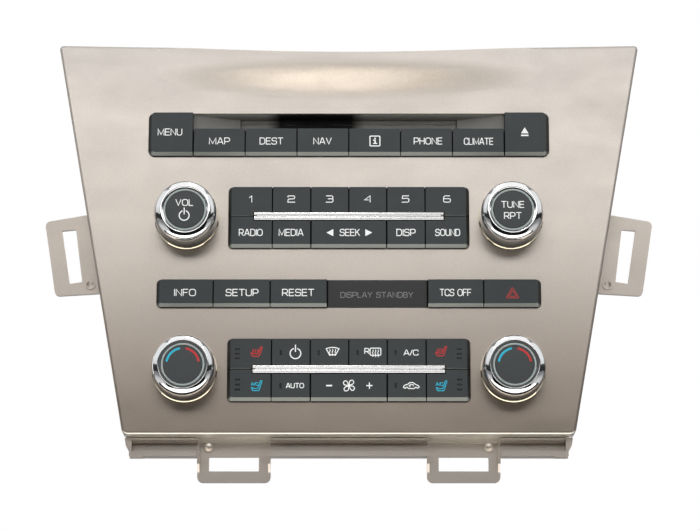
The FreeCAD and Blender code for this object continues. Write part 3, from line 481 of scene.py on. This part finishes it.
def spline(points, n=7):
    """Natural cubic through (r, h) points."""
    t = [0.0]
    for a, b in zip(points, points[1:]):
        t.append(t[-1] + math.hypot(b[0] - a[0], b[1] - a[1]))
    m = len(points) - 1
    out = []
    for k in (0, 1):
        v = [p[k] for p in points]
        sub, diag, sup, rhs = [0.0] * (m + 1), [1.0] * (m + 1), [0.0] * (m + 1), [0.0] * (m + 1)
        for i in range(1, m):
            h0, h1 = t[i] - t[i - 1], t[i + 1] - t[i]
            sub[i], diag[i], sup[i] = h0, 2 * (h0 + h1), h1
            rhs[i] = 6 * ((v[i + 1] - v[i]) / h1 - (v[i] - v[i - 1]) / h0)
        for i in range(1, m + 1):
            w = sub[i] / diag[i - 1]
            diag[i] -= w * sup[i - 1]
            rhs[i] -= w * rhs[i - 1]
        c = [0.0] * (m + 1)
        c[m] = rhs[m] / diag[m]
        for i in range(m - 1, -1, -1):
            c[i] = (rhs[i] - sup[i] * c[i + 1]) / diag[i]
        row = []
        for i in range(m):
            h = t[i + 1] - t[i]
            for j in range(n if i < m - 1 else n + 1):
                u = h * j / n
                a = h - u
                row.append((c[i] * a ** 3 + c[i + 1] * u ** 3) / (6 * h) + (v[i] / h - c[i] * h / 6) * a + (v[i + 1] / h - c[i + 1] * h / 6) * u)
        out.append(row)
    return list(zip(*out))


def turned(name, x, z, front_y, profile, mat, node, seg=144):
    """A turned piece: closed (r, h) profile about the Y axis, h forward of front_y; a run given as a list is a spline."""
    pts, hard = [], []
    for p in profile:
        run = spline(p) if isinstance(p, list) else [p]
        for i, q in enumerate(run):
            if pts and math.hypot(q[0] - pts[-1][0], q[1] - pts[-1][1]) < 1e-6:
                continue
            pts.append(q)
            hard.append(i in (0, len(run) - 1))
    bm = bmesh.new()
    rings = [[bm.verts.new(((x + r * math.sin(2 * math.pi * k / seg)) * MM, (front_y - h) * MM, (z + r * math.cos(2 * math.pi * k / seg)) * MM)) for k in range(seg)] for r, h in pts]
    n = len(rings)
    for i in range(n):
        a, b = rings[i], rings[(i + 1) % n]
        for k in range(seg):
            bm.faces.new((a[k], a[(k + 1) % seg], b[(k + 1) % seg], b[k]))
    for i, ring in enumerate(rings):
        if hard[i]:
            for k in range(seg):
                e = bm.edges.get((ring[k], ring[(k + 1) % seg]))
                e.smooth = False
    o = link(name, bm, mat, body_of(NODES[node])[0], True)
    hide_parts(node)
    return o


FRONT_Y = -18.5
for node, kx, kz, stepped in (("volume_knob", -94.2, 19.6, False), ("tune_knob", 94.2, 19.6, False),
                              ("left_temperature_knob", -94.2, -70.7, True), ("right_temperature_knob", 94.2, -70.7, True)):
    ktop, rin = (21.1, 13.75) if stepped else (22.2, 13.05)
    lip = [(12.75, 13.2), (12.75, 19.9), (rin, 19.9)] if stepped else [(rin, 13.2)]
    kk = ktop - 22.2
    turned(node + "_turned", kx, kz, FRONT_Y, [(6.05, 13.2)] + lip + [[
        (rin, ktop - 0.3), (rin + 0.28, ktop + 0.02), (14.7, 22.1 + kk), (16.2, 21.3 + kk), (17.4, 19.6 + kk), (17.98, 17.0 + kk), (18.18, 13.5 + kk * 0.5), (18.28, 8.5), (18.34, 4.4)],
        (18.34, 3.2), (18.36, 2.9), (18.7, 2.7), (18.7, 0.7), (17.1, 0.7), (16.3, 6.0), (15.6, 11.6), (9.0, 11.6), (8.6, 1.2), (6.05, 1.2)],
        M["knob_chrome"], node)


class Print:
    """Collects flat printed strokes and fills on one face, as thin closed solids."""

    def __init__(self, front_y, proud=0.045, dome=None):
        self.bm = bmesh.new()
        self.y, self.proud, self.dome, self.k = front_y, proud, dome, 0

    def height(self, x, z):
        if self.dome is None:
            return self.y
        r = math.hypot(x - self.dome[0], z - self.dome[1])
        return self.y + 0.24 * (r / 11.1) ** 2

    def ring(self, pts, off):
        return [self.bm.verts.new((x * MM, (self.height(x, z) + off) * MM, z * MM)) for (x, z) in pts]

    def step(self):
        self.k += 1
        return -self.proud - 0.0006 * (self.k % 12)

    def fill(self, pts):
        f, b = self.step(), 0.03
        fr, bk = self.ring(pts, f), self.ring(pts, b)
        n = len(pts)
        self.bm.faces.new(fr)
        self.bm.faces.new(list(reversed(bk)))
        for i in range(n):
            j = (i + 1) % n
            self.bm.faces.new((fr[i], bk[i], bk[j], fr[j]))

    def stroke(self, pts, w, closed=False, cap=True):
        n = len(pts)
        if n < 2:
            return
        left, right = [], []
        for i in range(n):
            p = Vector(pts[i])
            a = Vector(pts[i - 1]) if (i > 0 or closed) else None
            b = Vector(pts[(i + 1) % n]) if (i < n - 1 or closed) else None
            if a is None:
                d = (b - p).normalized()
                if cap:
                    p = p - d * w * 0.18
                nrm, k = Vector((-d.y, d.x)), 1.0
            elif b is None:
                d = (p - a).normalized()
                if cap:
                    p = p + d * w * 0.18
                nrm, k = Vector((-d.y, d.x)), 1.0
            else:
                d0, d1 = (p - a).normalized(), (b - p).normalized()
                n0, n1 = Vector((-d0.y, d0.x)), Vector((-d1.y, d1.x))
                nrm = n0 + n1
                if nrm.length < 1e-4:
                    nrm = n0
                nrm.normalize()
                k = min(1.0 / max(0.2, nrm.dot(n0)), 1.7)
            left.append(tuple(p + nrm * w * 0.5 * k))
            right.append(tuple(p - nrm * w * 0.5 * k))
        f, bk = self.step(), 0.03
        lf, rf, lb, rb = self.ring(left, f), self.ring(right, f), self.ring(left, bk), self.ring(right, bk)
        m = n if closed else n - 1
        for i in range(m):
            j = (i + 1) % n
            self.bm.faces.new((lf[i], lf[j], rf[j], rf[i]))
            self.bm.faces.new((lb[i], rb[i], rb[j], lb[j]))
            self.bm.faces.new((lf[i], lb[i], lb[j], lf[j]))
            self.bm.faces.new((rf[i], rf[j], rb[j], rb[i]))
        if not closed:
            self.bm.faces.new((lf[0], rf[0], rb[0], lb[0]))
            self.bm.faces.new((lf[-1], lb[-1], rb[-1], rf[-1]))


# A thin square-shouldered stroke alphabet: cap height 1, strokes as point lists, "o" marks a closed stroke.
GLYPHS = {
    "A": (0.92, [[(0, 0), (0.40, 1), (0.52, 1), (0.92, 0)], [(0.14, 0.30), (0.78, 0.30)]]),
    "B": (0.80, [[(0, 0.5), (0.70, 0.5, 0.2), (0.74, 1, 0.22), (0, 1), (0, 0), (0.80, 0, 0.24), (0.80, 0.5, 0.22), (0.5, 0.5)]]),
    "C": (0.84, [[(0.84, 0.74), (0.84, 1, 0.24), (0, 1, 0.28), (0, 0, 0.28), (0.84, 0, 0.24), (0.84, 0.26)]]),
    "D": (0.86, ["o", [(0, 0), (0.86, 0, 0.36), (0.86, 1, 0.36), (0, 1)]]),
    "E": (0.74, [[(0.74, 1), (0, 1), (0, 0), (0.74, 0)], [(0, 0.51), (0.68, 0.51)]]),
    "F": (0.72, [[(0.72, 1), (0, 1), (0, 0)], [(0, 0.50), (0.64, 0.50)]]),
    "G": (0.88, [[(0.84, 0.76), (0.84, 1, 0.24), (0, 1, 0.28), (0, 0, 0.28), (0.86, 0, 0.24), (0.86, 0.48), (0.48, 0.48)]]),
    "H": (0.82, [[(0, 0), (0, 1)], [(0.82, 0), (0.82, 1)], [(0, 0.51), (0.82, 0.51)]]),
    "I": (0.0, [[(0, 0), (0, 1)]]),
    "K": (0.78, [[(0, 0), (0, 1)], [(0.74, 1), (0.06, 0.46)], [(0.27, 0.62), (0.78, 0)]]),
    "L": (0.66, [[(0, 1), (0, 0), (0.66, 0)]]),
    "M": (1.04, [[(0, 0), (0, 1), (0.52, 0.10), (1.04, 1), (1.04, 0)]]),
    "N": (0.84, [[(0, 0), (0, 1), (0.84, 0), (0.84, 1)]]),
    "O": (0.94, ["o", [(0, 0, 0.34), (0.94, 0, 0.34), (0.94, 1, 0.34), (0, 1, 0.34)]]),
    "P": (0.80, [[(0, 0), (0, 1), (0.80, 1, 0.26), (0.80, 0.40, 0.26), (0, 0.40)]]),
    "R": (0.82, [[(0, 0), (0, 1), (0.80, 1, 0.26), (0.80, 0.42, 0.26), (0, 0.42)], [(0.42, 0.42), (0.82, 0)]]),
    "S": (0.82, [[(0.78, 0.78), (0.78, 1, 0.18), (0.02, 1, 0.24), (0.02, 0.53, 0.2), (0.82, 0.51, 0.2), (0.82, 0, 0.24), (0, 0, 0.18), (0, 0.22)]]),
    "T": (0.86, [[(0, 1), (0.86, 1)], [(0.43, 1), (0.43, 0)]]),
    "U": (0.84, [[(0, 1), (0, 0, 0.30), (0.84, 0, 0.30), (0.84, 1)]]),
    "V": (0.90, [[(0, 1), (0.45, 0), (0.90, 1)]]),
    "Y": (0.86, [[(0, 1), (0.43, 0.48), (0.86, 1)], [(0.43, 0.48), (0.43, 0)]]),
    "/": (0.42, [[(0, -0.02), (0.42, 1.02)]]),
    " ": (0.42, []),
    "1": (0.34, [[(0, 0.72), (0.34, 1), (0.34, 0)]]),
    "2": (0.98, [[(0.02, 0.76), (0.02, 1, 0.2), (0.94, 1, 0.26), (0.94, 0.56, 0.2), (0.02, 0.46, 0.2), (0.02, 0), (0.98, 0)]]),
    "3": (0.98, [[(0.02, 1), (0.94, 1, 0.24), (0.94, 0.53, 0.2), (0.28, 0.53)], [(0.7, 0.53), (0.96, 0.53, 0.2), (0.96, 0, 0.26), (0, 0)]]),
    "4": (1.02, [[(0.80, 0), (0.80, 1), (0.0, 0.36), (0.56, 0.36)]]),
    "5": (0.98, [[(0.94, 1), (0.10, 1), (0.06, 0.58), (0.96, 0.60, 0.24), (0.96, 0, 0.26), (0, 0)]]),
    "6": (0.98, [[(0.88, 1), (0.02, 1, 0.30), (0.02, 0, 0.26), (0.96, 0, 0.26), (0.96, 0.56, 0.24), (0.04, 0.56)]]),
}


def word(pr, text, cx, cz, width, cap, w=0.50, gap=0.24):
    """Text centred on (cx, cz), width and capital height over the strokes' outsides."""
    raw = sum(GLYPHS[c][0] for c in text) + gap * (len(text) - 1)
    h = cap - w
    k = (width - w) / max(raw * h, 1e-6)
    if len(text) == 1:
        k = (width - w) / max(GLYPHS[text][0] * h, 1e-6)
        raw = GLYPHS[text][0]
    x = cx - raw * h * k / 2
    z = cz - h / 2
    for c in text:
        adv, strokes = GLYPHS[c]
        closed = False
        for s in strokes:
            if s == "o":
                closed = True
                continue
            pts = [(x + p[0] * h * k, z + p[1] * h) + ((p[2] * h,) if len(p) > 2 else ()) for p in s]
            pr.stroke(rounded(pts, closed), w, closed)
        x += (adv + gap) * h * k


def legend(name, key, build, color="white", y=None, dome=None, proud=0.045):
    pr = Print(KEY_Y if y is None else y, proud, dome)
    build(pr)
    return link(name, pr.bm, INK[color], key)


def words(key, items, y=None, dome=None, color="white", suffix="legend"):
    def build(pr):
        for it in items:
            word(pr, *it)
    return legend(key + "_" + suffix, key, build, color, y, dome)


CAPH = 4.3
words("menu_key", [("MENU", -104.8, 71.4, 14.4, CAPH)])
words("map_key", [("MAP", -75.7, 65.9, 12.3, CAPH)])
words("dest_key", [("DEST", -45.3, 65.9, 13.9, CAPH)])
words("nav_key", [("NAV", -15.4, 65.9, 10.8, CAPH)])
words("phone_key", [("PHONE", 46.4, 65.9, 16.8, CAPH)])
words("climate_key", [("CLIMATE", 76.0, 65.7, 17.3, CAPH)])
words("radio_key", [("RADIO", -56.9, 10.6, 13.9, CAPH)])
words("media_key", [("MEDIA", -33.5, 10.6, 14.4, CAPH)])
words("display_key", [("DISP", 33.2, 10.6, 11.2, CAPH)])
words("sound_key", [("SOUND", 57.4, 10.6, 14.5, CAPH)])
words("trip_info_key", [("INFO", -94.5, -25.2, 12.6, CAPH)])
words("setup_key", [("SETUP", -61.6, -25.2, 19.0, CAPH)])
words("reset_key", [("RESET", -29.2, -25.2, 18.6, CAPH)])
words("traction_key", [("TCS OFF", 61.6, -25.2, 18.4, CAPH, 0.46, 0.20)])
words("auto_key", [("AUTO", -30.8, -79.9, 10.4, 3.1, 0.44)])
words("air_con_key", [("A/C", 35.7, -60.6, 8.6, 3.4, 0.44, 0.16)])
for i, x in enumerate((-57.2, -33.4, -11.2, 11.2, 33.0, 57.2)):
    words("preset_%d_key" % (i + 1), [(str(i + 1), x, 30.7, 1.9 if i == 0 else 4.7, CAPH)])
words("volume_button", [("VOL", -94.5, 23.6, 10.3, 4.1)], y=CAP_TOP["volume_button"], dome=(-94.2, 19.6))
words("tune_button", [("TUNE", 94.2, 22.4, 13.4, 4.1), ("RPT", 94.2, 15.8, 10.2, 4.1)], y=CAP_TOP["tune_button"], dome=(94.2, 19.6))
legend("strip_legend", "panel", lambda pr: word(pr, "DISPLAY STANDBY", 16.2, -25.9, 42.0, 3.4, 0.36, 0.26), "dim", LENS_Y, None, 0.03)


def power_symbol(pr, cx, cz, r, bar_top, bar_low, w):
    pr.stroke(arc(cx, cz, r, 108, 432, 40), w, cap=False)
    pr.stroke([(cx, cz + bar_low), (cx, cz + bar_top)], w, cap=False)


legend("volume_power_symbol", "volume_button", lambda pr: power_symbol(pr, -94.5, 15.9, 2.85, 4.6, 0.6, 0.62), "white", CAP_TOP["volume_button"], (-94.2, 19.6))
legend("climate_power_symbol", "climate_power_key", lambda pr: power_symbol(pr, -30.6, -61.1, 3.05, 5.1, 0.9, 0.62))


def seek(pr):
    word(pr, "SEEK", 0.6, 10.6, 11.8, CAPH)
    pr.fill([(-13.0, 10.5), (-9.0, 12.6), (-9.0, 8.4)])
    pr.fill([(13.6, 10.5), (9.6, 8.4), (9.6, 12.6)])


legend("seek_legend", "seek_rocker", seek)


def fan(pr):
    for k in range(4):
        a = math.radians(45 + 90 * k)
        c, s = math.cos(a), math.sin(a)
        blade = []
        for (u, v) in ((0.35, 0.0), (1.5, 1.25), (2.6, 1.55), (3.6, 0.95), (3.75, -0.1), (3.0, -0.95), (1.7, -0.75)):
            blade.append((0.1 + u * c - v * s, -79.9 + u * s + v * c))
        # soften the blade outline
        n = len(blade)
        soft = [(blade[i][0], blade[i][1], 0.7 if i else 0.0) for i in range(n)]
        pr.stroke(rounded(soft, True), 0.52, True)
    pr.stroke([(-13.0, -79.9), (-9.5, -79.9)], 0.85, cap=False)
    pr.stroke([(10.0, -79.9), (13.6, -79.9)], 0.62, cap=False)
    pr.stroke([(11.8, -81.7), (11.8, -78.1)], 0.62, cap=False)


legend("fan_legend", "fan_rocker", fan)


def info_box(pr):
    pr.stroke(rounded([(12.4, 62.9, 0.5), (18.2, 62.9, 0.5), (18.2, 68.9, 0.5), (12.4, 68.9, 0.5)], True), 0.62, True)
    pr.stroke([(14.3, 64.4), (16.5, 64.4)], 0.6)
    pr.stroke([(15.4, 64.4), (15.4, 66.4), (14.5, 66.4)], 0.8)
    pr.fill([(14.95, 67.1), (15.85, 67.1), (15.85, 67.95), (14.95, 67.95)])


legend("info_page_legend", "info_page_key", info_box)


def eject(pr):
    pr.fill([(100.9, 70.6), (105.3, 70.6), (103.1, 74.2)])
    pr.fill([(100.9, 68.9), (105.3, 68.9), (105.3, 69.8), (100.9, 69.8)])


legend("eject_legend", "eject_key", eject)


def hazard(pr):
    for (h, w) in ((4.15, 0.55), (2.35, 0.50)):
        pts = []
        for a in (90, 210, 330):
            pts.append((94.5 + h * math.cos(math.radians(a)) * 1.02, -26.3 + h * math.sin(math.radians(a)), 0.35))
        pr.stroke(rounded(pts, True), w, True)


legend("hazard_legend", "hazard_key", hazard, "pink")


def front_defrost(pr):
    x, z = -9.3, -60.0
    top = arc(x, z - 6.6, 9.0, 114, 66, 14)
    low = arc(x, z - 6.6, 4.7, 70, 110, 10)
    pr.stroke(top + low, 0.55, True)
    for dx in (-1.6, 0.0, 1.6):
        pr.stroke([(x + dx, z + 1.3), (x + dx + 0.25, z + 0.6), (x + dx - 0.25, z - 0.2), (x + dx, z - 1.0)], 0.42)
        pr.fill([(x + dx - 0.6, z - 1.4), (x + dx + 0.6, z - 1.4), (x + dx, z - 2.7)])


legend("front_defrost_legend", "front_defrost_key", front_defrost)


def rear_defrost(pr):
    x, z = 15.3, -60.1
    pr.stroke(rounded([(x - 3.1, z - 2.1, 0.8), (x + 3.1, z - 2.1, 0.8), (x + 3.1, z + 2.1, 0.8), (x - 3.1, z + 2.1, 0.8)], True), 0.55, True)
    for dx in (-1.5, 0.0, 1.5):
        pr.stroke([(x + dx, z + 1.2), (x + dx + 0.3, z + 0.4), (x + dx - 0.3, z - 0.6), (x + dx + 0.2, z - 1.6), (x + dx, z - 3.1)], 0.42)
    word(pr, "R", 10.4, -59.7, 2.9, 3.5, 0.48)


legend("rear_defrost_legend", "rear_defrost_key", rear_defrost)


def recirculate(pr):
    x, z = 35.6, -80.1
    pts = [(-4.6, -0.6, 0.4), (-3.5, 0.5, 0.4), (-1.8, 1.0, 0.4), (-0.7, 2.0, 0.6), (1.2, 2.0, 0.6), (2.6, 0.9, 0.4), (4.3, 0.1, 0.4), (4.7, -0.9, 0.3),
           (3.6, -1.3, 0.2), (3.1, -0.8, 0.3), (2.4, -0.8, 0.3), (1.9, -1.5, 0.2), (-1.5, -1.5, 0.2), (-2.0, -0.8, 0.3), (-2.8, -0.8, 0.3), (-3.3, -1.5, 0.3)]
    pr.stroke(rounded([(x + a, z + b, r) for a, b, r in pts], True, 3), 0.5, True)
    pr.stroke(rounded([(x + 1.3, z - 0.1), (x + 1.3, z + 0.9, 0.4), (x - 0.5, z + 0.9, 0.3), (x - 0.7, z + 0.2)], False, 3), 0.42)
    pr.fill([(x - 1.4, z + 0.35), (x + 0.0, z + 0.35), (x - 0.7, z - 0.75)])


legend("recirculation_legend", "recirculation_key", recirculate)


def seat_heat(cx, cz):
    def build(pr):
        pr.stroke(rounded([(cx + 3.4, cz + 2.9, 0.3), (cx + 1.9, cz - 1.6, 0.5), (cx + 1.3, cz - 2.6, 0.4), (cx - 2.0, cz - 2.6, 0.4), (cx - 3.2, cz - 0.9, 0.4),
                           (cx - 2.4, cz - 0.2, 0.3), (cx - 1.5, cz - 1.1, 0.3), (cx + 0.9, cz - 1.1, 0.4), (cx + 1.6, cz + 1.0, 0.3), (cx + 2.5, cz + 2.9, 0.3)], True, 3), 0.55, True)
        for dx in (-1.9, -0.6, 0.7):
            pr.stroke([(cx + dx - 0.2, cz - 0.3), (cx + dx + 0.2, cz + 0.3), (cx + dx - 0.15, cz + 0.9), (cx + dx + 0.3, cz + 1.6)], 0.46)
    return build


def seat_cool(cx, cz):
    def build(pr):
        pr.stroke(rounded([(cx + 3.5, cz + 3.0, 0.3), (cx + 2.3, cz - 1.0, 0.4), (cx + 1.7, cz - 2.8, 0.4), (cx - 1.9, cz - 2.8, 0.4), (cx - 2.8, cz - 1.0, 0.4),
                           (cx - 2.0, cz - 1.0, 0.3), (cx - 1.6, cz - 1.6, 0.3), (cx + 0.9, cz - 1.6, 0.3), (cx + 1.5, cz - 0.4, 0.3), (cx + 2.6, cz + 3.0, 0.3)], True, 3), 0.52, True)
        word(pr, "A/C", cx - 0.8, cz + 1.1, 4.4, 2.1, 0.40, 0.18)
    return build


legend("left_seat_heat_legend", "left_seat_heat_key", seat_heat(-53.0, -60.2), "red")
legend("right_seat_heat_legend", "right_seat_heat_key", seat_heat(52.9, -59.9), "red")
legend("left_seat_cool_legend", "left_seat_cool_key", seat_cool(-53.1, -80.0), "cyan")
legend("right_seat_cool_legend", "right_seat_cool_key", seat_cool(52.7, -80.1), "cyan")


# temperature arcs on the two lower knobs' fixed caps
def temp_arc(x, a0, a1):
    def build(pr):
        pts = arc(x, -70.7, 9.2, a0, a1, 20)
        pr.stroke(pts, 1.25, cap=False)
        for (px, pz), a in ((pts[0], a0), (pts[-1], a1)):
            pr.fill(arc(px, pz, 0.625, 0, 345, 15))
    return build


for side, x in (("left", -94.2), ("right", 94.2)):
    c = side + "_temperature_cap"
    legend(side + "_cool_arc", "panel", temp_arc(x, 168, 103), "cyan", CAP_TOP[c], (x, -70.7))
    legend(side + "_warm_arc", "panel", temp_arc(x, 77, 12), "red", CAP_TOP[c], (x, -70.7))


# status windows: smoked slots with a fine raised rim
def window(name, key, cells):
    rim = Print(KEY_Y, 0.06)
    glass = Print(KEY_Y, 0.03)
    for (cx, cz, w, h) in cells:
        r = min(w, h) * 0.42
        ring = rounded([(cx - w / 2, cz - h / 2, r), (cx + w / 2, cz - h / 2, r), (cx + w / 2, cz + h / 2, r), (cx - w / 2, cz + h / 2, r)], True, 4)
        rim.stroke(ring, 0.14, True)
        glass.fill(ring)
    link(name + "_rims", rim.bm, INK["rim"], key)
    link(name + "_windows", glass.bm, INK["window"], key)


LW, LH = 3.7, 1.55
window("left_seat_heat", "left_seat_heat_key", [(-63.8, z, LW, LH) for z in (-58.7, -61.3, -63.9)])
window("left_seat_cool", "left_seat_cool_key", [(-63.7, z, LW, LH) for z in (-76.4, -79.3, -82.2)])
window("right_seat_heat", "right_seat_heat_key", [(63.4, z, LW, LH) for z in (-58.7, -61.3, -63.9)])
window("right_seat_cool", "right_seat_cool_key", [(63.4, z, LW, LH) for z in (-76.4, -79.3, -82.2)])
window("climate_power", "climate_power_key", [(-39.0, -60.6, 1.8, 3.7)])
window("front_defrost", "front_defrost_key", [(-17.3, -60.6, 1.8, 3.7)])
window("rear_defrost", "rear_defrost_key", [(5.0, -60.6, 1.8, 3.7)])
window("air_con", "air_con_key", [(26.9, -60.6, 1.8, 3.7)])
window("auto", "auto_key", [(-39.1, -79.9, 1.8, 3.7)])
window("recirculation", "recirculation_key", [(26.9, -79.9, 1.8, 3.7)])


# ------------------------------------------------------------------ felt dust curtain in the disc slit
def curtain(name, z0, z1, edge, phase, mat):
    """One felt strip across the slit, glued along one long edge; its free edge is slightly wavy."""
    bm = bmesh.new()
    n = 120
    rows = 6
    t = 0.35
    grid = []
    for side in (0, 1):
        g = []
        for i in range(n + 1):
            x = -63.6 + 127.2 * i / n
            col = []
            for j in range(rows + 1):
                v = j / rows
                free = v if edge == "low" else 1 - v
                z = z0 + (z1 - z0) * v
                z += 0.10 * free * math.sin(x * 0.55 + phase) * math.sin(x * 0.131 + phase * 2.0)
                y = -11.2 + 0.5 * free * math.sin(x * 0.21 + phase) + 0.25 * free + (t if side else 0.0)
                col.append(bm.verts.new((x * MM, y * MM, z * MM)))
            g.append(col)
        grid.append(g)
    for i in range(n):
        for j in range(rows):
            bm.faces.new((grid[0][i][j], grid[0][i + 1][j], grid[0][i + 1][j + 1], grid[0][i][j + 1]))
            bm.faces.new((grid[1][i][j], grid[1][i][j + 1], grid[1][i + 1][j + 1], grid[1][i + 1][j]))
        bm.faces.new((grid[0][i][0], grid[1][i][0], grid[1][i + 1][0], grid[0][i + 1][0]))
        bm.faces.new((grid[0][i][rows], grid[0][i + 1][rows], grid[1][i + 1][rows], grid[1][i][rows]))
    for i in (0, n):
        for j in range(rows):
            bm.faces.new((grid[0][i][j], grid[0][i][j + 1], grid[1][i][j + 1], grid[1][i][j]))
    return link(name, bm, mat, "panel", True)


curtain("felt_curtain_upper", 79.15, 81.75, "high", 0.4, FELT_DARK)
curtain("felt_curtain_lower", 76.25, 79.0, "low", 1.9, FELT_DARK)

# ------------------------------------------------------------------ camera
cam_data = bpy.data.cameras.new("photo_camera")
cam = bpy.data.objects.new("photo_camera", cam_data)
SCENE.collection.objects.link(cam)
cam_data.lens = 133.0
cam_data.sensor_width = 36.0
cam_data.dof.use_dof = False
cam.location = (0.0007, -1.4752, -0.3658)
th = math.radians(13.8)
look = Vector((0, math.cos(th), math.sin(th)))
up = Vector((0, -math.sin(th), math.cos(th)))
right = look.cross(up)
from mathutils import Matrix
rot = Matrix((right, up, -look)).transposed()
cam.rotation_mode = "QUATERNION"
cam.rotation_quaternion = rot.to_quaternion()
SCENE.camera = cam

# ------------------------------------------------------------------ stage and lights
SCENE.view_settings.view_transform = "Standard"
SCENE.view_settings.look = "None"
SCENE.view_settings.exposure = 0.0
SCENE.view_settings.gamma = 1.0

fl = Mat("floor_paper")
fl.set(Base_Color=fl.mix(fl.noise(3.0, 2.0), (0.86, 0.86, 0.855, 1), (0.90, 0.90, 0.895, 1)), Roughness=0.9)
bpy.ops.mesh.primitive_plane_add(size=30.0, location=(0, 0, -0.47))
floor = bpy.context.object
floor.name = "floor"
floor.data.materials.append(fl.m)

world = bpy.data.worlds.new("studio")
SCENE.world = world
world.use_nodes = True
wt = world.node_tree
wt.nodes.clear()
out = wt.nodes.new("ShaderNodeOutputWorld")
bg_seen = wt.nodes.new("ShaderNodeBackground")
bg_light = wt.nodes.new("ShaderNodeBackground")
mixw = wt.nodes.new("ShaderNodeMixShader")
path = wt.nodes.new("ShaderNodeLightPath")
bg_seen.inputs["Color"].default_value = (1, 1, 1, 1)
bg_seen.inputs["Strength"].default_value = 1.0
bg_light.inputs["Strength"].default_value = 0.30
geo = wt.nodes.new("ShaderNodeTexCoord")
sepw = wt.nodes.new("ShaderNodeSeparateXYZ")
rampw = wt.nodes.new("ShaderNodeValToRGB")
mr = wt.nodes.new("ShaderNodeMapRange")
mr.inputs["From Min"].default_value = -1.0
mr.inputs["From Max"].default_value = 1.0
wt.links.new(geo.outputs["Generated"], sepw.inputs["Vector"])
wt.links.new(sepw.outputs["Z"], mr.inputs["Value"])
wt.links.new(mr.outputs["Result"], rampw.inputs["Fac"])
els = rampw.color_ramp.elements
els[0].position, els[0].color = 0.56, (0.10, 0.10, 0.10, 1)
els[1].position, els[1].color = 0.68, (0.85, 0.86, 0.88, 1)
wt.links.new(rampw.outputs["Color"], bg_light.inputs["Color"])
wt.links.new(path.outputs["Is Camera Ray"], mixw.inputs["Fac"])
wt.links.new(bg_light.outputs["Background"], mixw.inputs[1])
wt.links.new(bg_seen.outputs["Background"], mixw.inputs[2])
wt.links.new(mixw.outputs["Shader"], out.inputs["Surface"])


def area(name, loc, target, sx, sy, power, color=(1, 1, 1), spread=180.0):
    d = bpy.data.lights.new(name, "AREA")
    d.shape = "RECTANGLE"
    d.size, d.size_y = sx, sy
    d.energy = power
    d.color = color
    d.spread = math.radians(spread)
    o = bpy.data.objects.new(name, d)
    SCENE.collection.objects.link(o)
    o.location = loc
    o.rotation_mode = "QUATERNION"
    o.rotation_quaternion = (Vector(loc) - Vector(target)).to_track_quat("Z", "Y")
    return o


def card(name, pts, strength=0.0, color=(1, 1, 1)):
    """A studio card: seen in reflections, not by the camera, and casting no shadow."""
    bm = bmesh.new()
    bm.faces.new([bm.verts.new(p) for p in pts])
    me = bpy.data.meshes.new(name)
    bm.to_mesh(me)
    bm.free()
    o = bpy.data.objects.new(name, me)
    SCENE.collection.objects.link(o)
    m = bpy.data.materials.new(name)
    m.use_nodes = True
    b = m.node_tree.nodes["Principled BSDF"]
    b.inputs["Base Color"].default_value = (0.01, 0.01, 0.01, 1) if strength == 0 else (0.8, 0.8, 0.8, 1)
    b.inputs["Roughness"].default_value = 1.0
    b.inputs["Specular IOR Level"].default_value = 0.0
    b.inputs["Emission Color"].default_value = tuple(color) + (1,)
    b.inputs["Emission Strength"].default_value = strength
    me.materials.append(m)
    o.visible_camera = False
    o.visible_shadow = False
    return o


# a wide soft box in front and above, a smaller one close over the upper edge, and a dark flag low in front
area("box_front_low", (0, -2.05, 0.79), (0, 0, 0), 2.4, 0.54, 7.6, (1.0, 0.995, 0.985))
area("box_front_high", (0, -1.55, 1.26), (0, 0, 0), 2.2, 0.78, 4.0, (1.0, 0.995, 0.985))
area("box_upper", (0, -0.83, 1.60), (0, 0, 0), 2.0, 0.80, 4.0, (1.0, 0.99, 0.97))
area("box_overhead", (0, 0.06, 1.70), (0, 0, 0), 1.8, 1.04, 4.4, (1.0, 0.99, 0.97))
area("side_left", (-1.50, -0.62, 0.95), (0, -0.35, 0.25), 2.2, 1.4, 5.9, (0.99, 1.0, 1.0))
area("side_right", (1.50, -0.62, 0.95), (0, -0.35, 0.25), 2.2, 1.4, 5.9, (0.99, 1.0, 1.0))
area("spot_low", (-0.03, -0.27, 0.42), (-0.03, -0.015, 0.107), 0.10, 0.06, 0.073, (1.0, 0.99, 0.96))
area("spot_high", (-0.03, -0.18, 0.46), (-0.03, -0.015, 0.107), 0.10, 0.06, 0.163, (1.0, 0.99, 0.96))
area("floor_bounce", (0, -0.32, -0.44), (0, -0.32, 0.0), 1.3, 0.46, 2.6, (1.0, 0.96, 0.90))
area("back_fill", (0.9, 1.9, 0.9), (0, 0, 0), 1.4, 1.2, 15.0)
area("back_left_fill", (-1.6, 1.4, 0.4), (0, 0, 0), 1.2, 1.2, 8.0)
card("low_flag", [(-0.50, -0.58, -0.44), (0.50, -0.58, -0.44), (1.15, -2.2, 0.26), (-1.15, -2.2, 0.26)])
card("rear_flag", [(-0.8, -0.02, -0.45), (0.8, -0.02, -0.45), (0.8, 0.9, -0.42), (-0.8, 0.9, -0.42)])

bpy.context.view_layer.update()
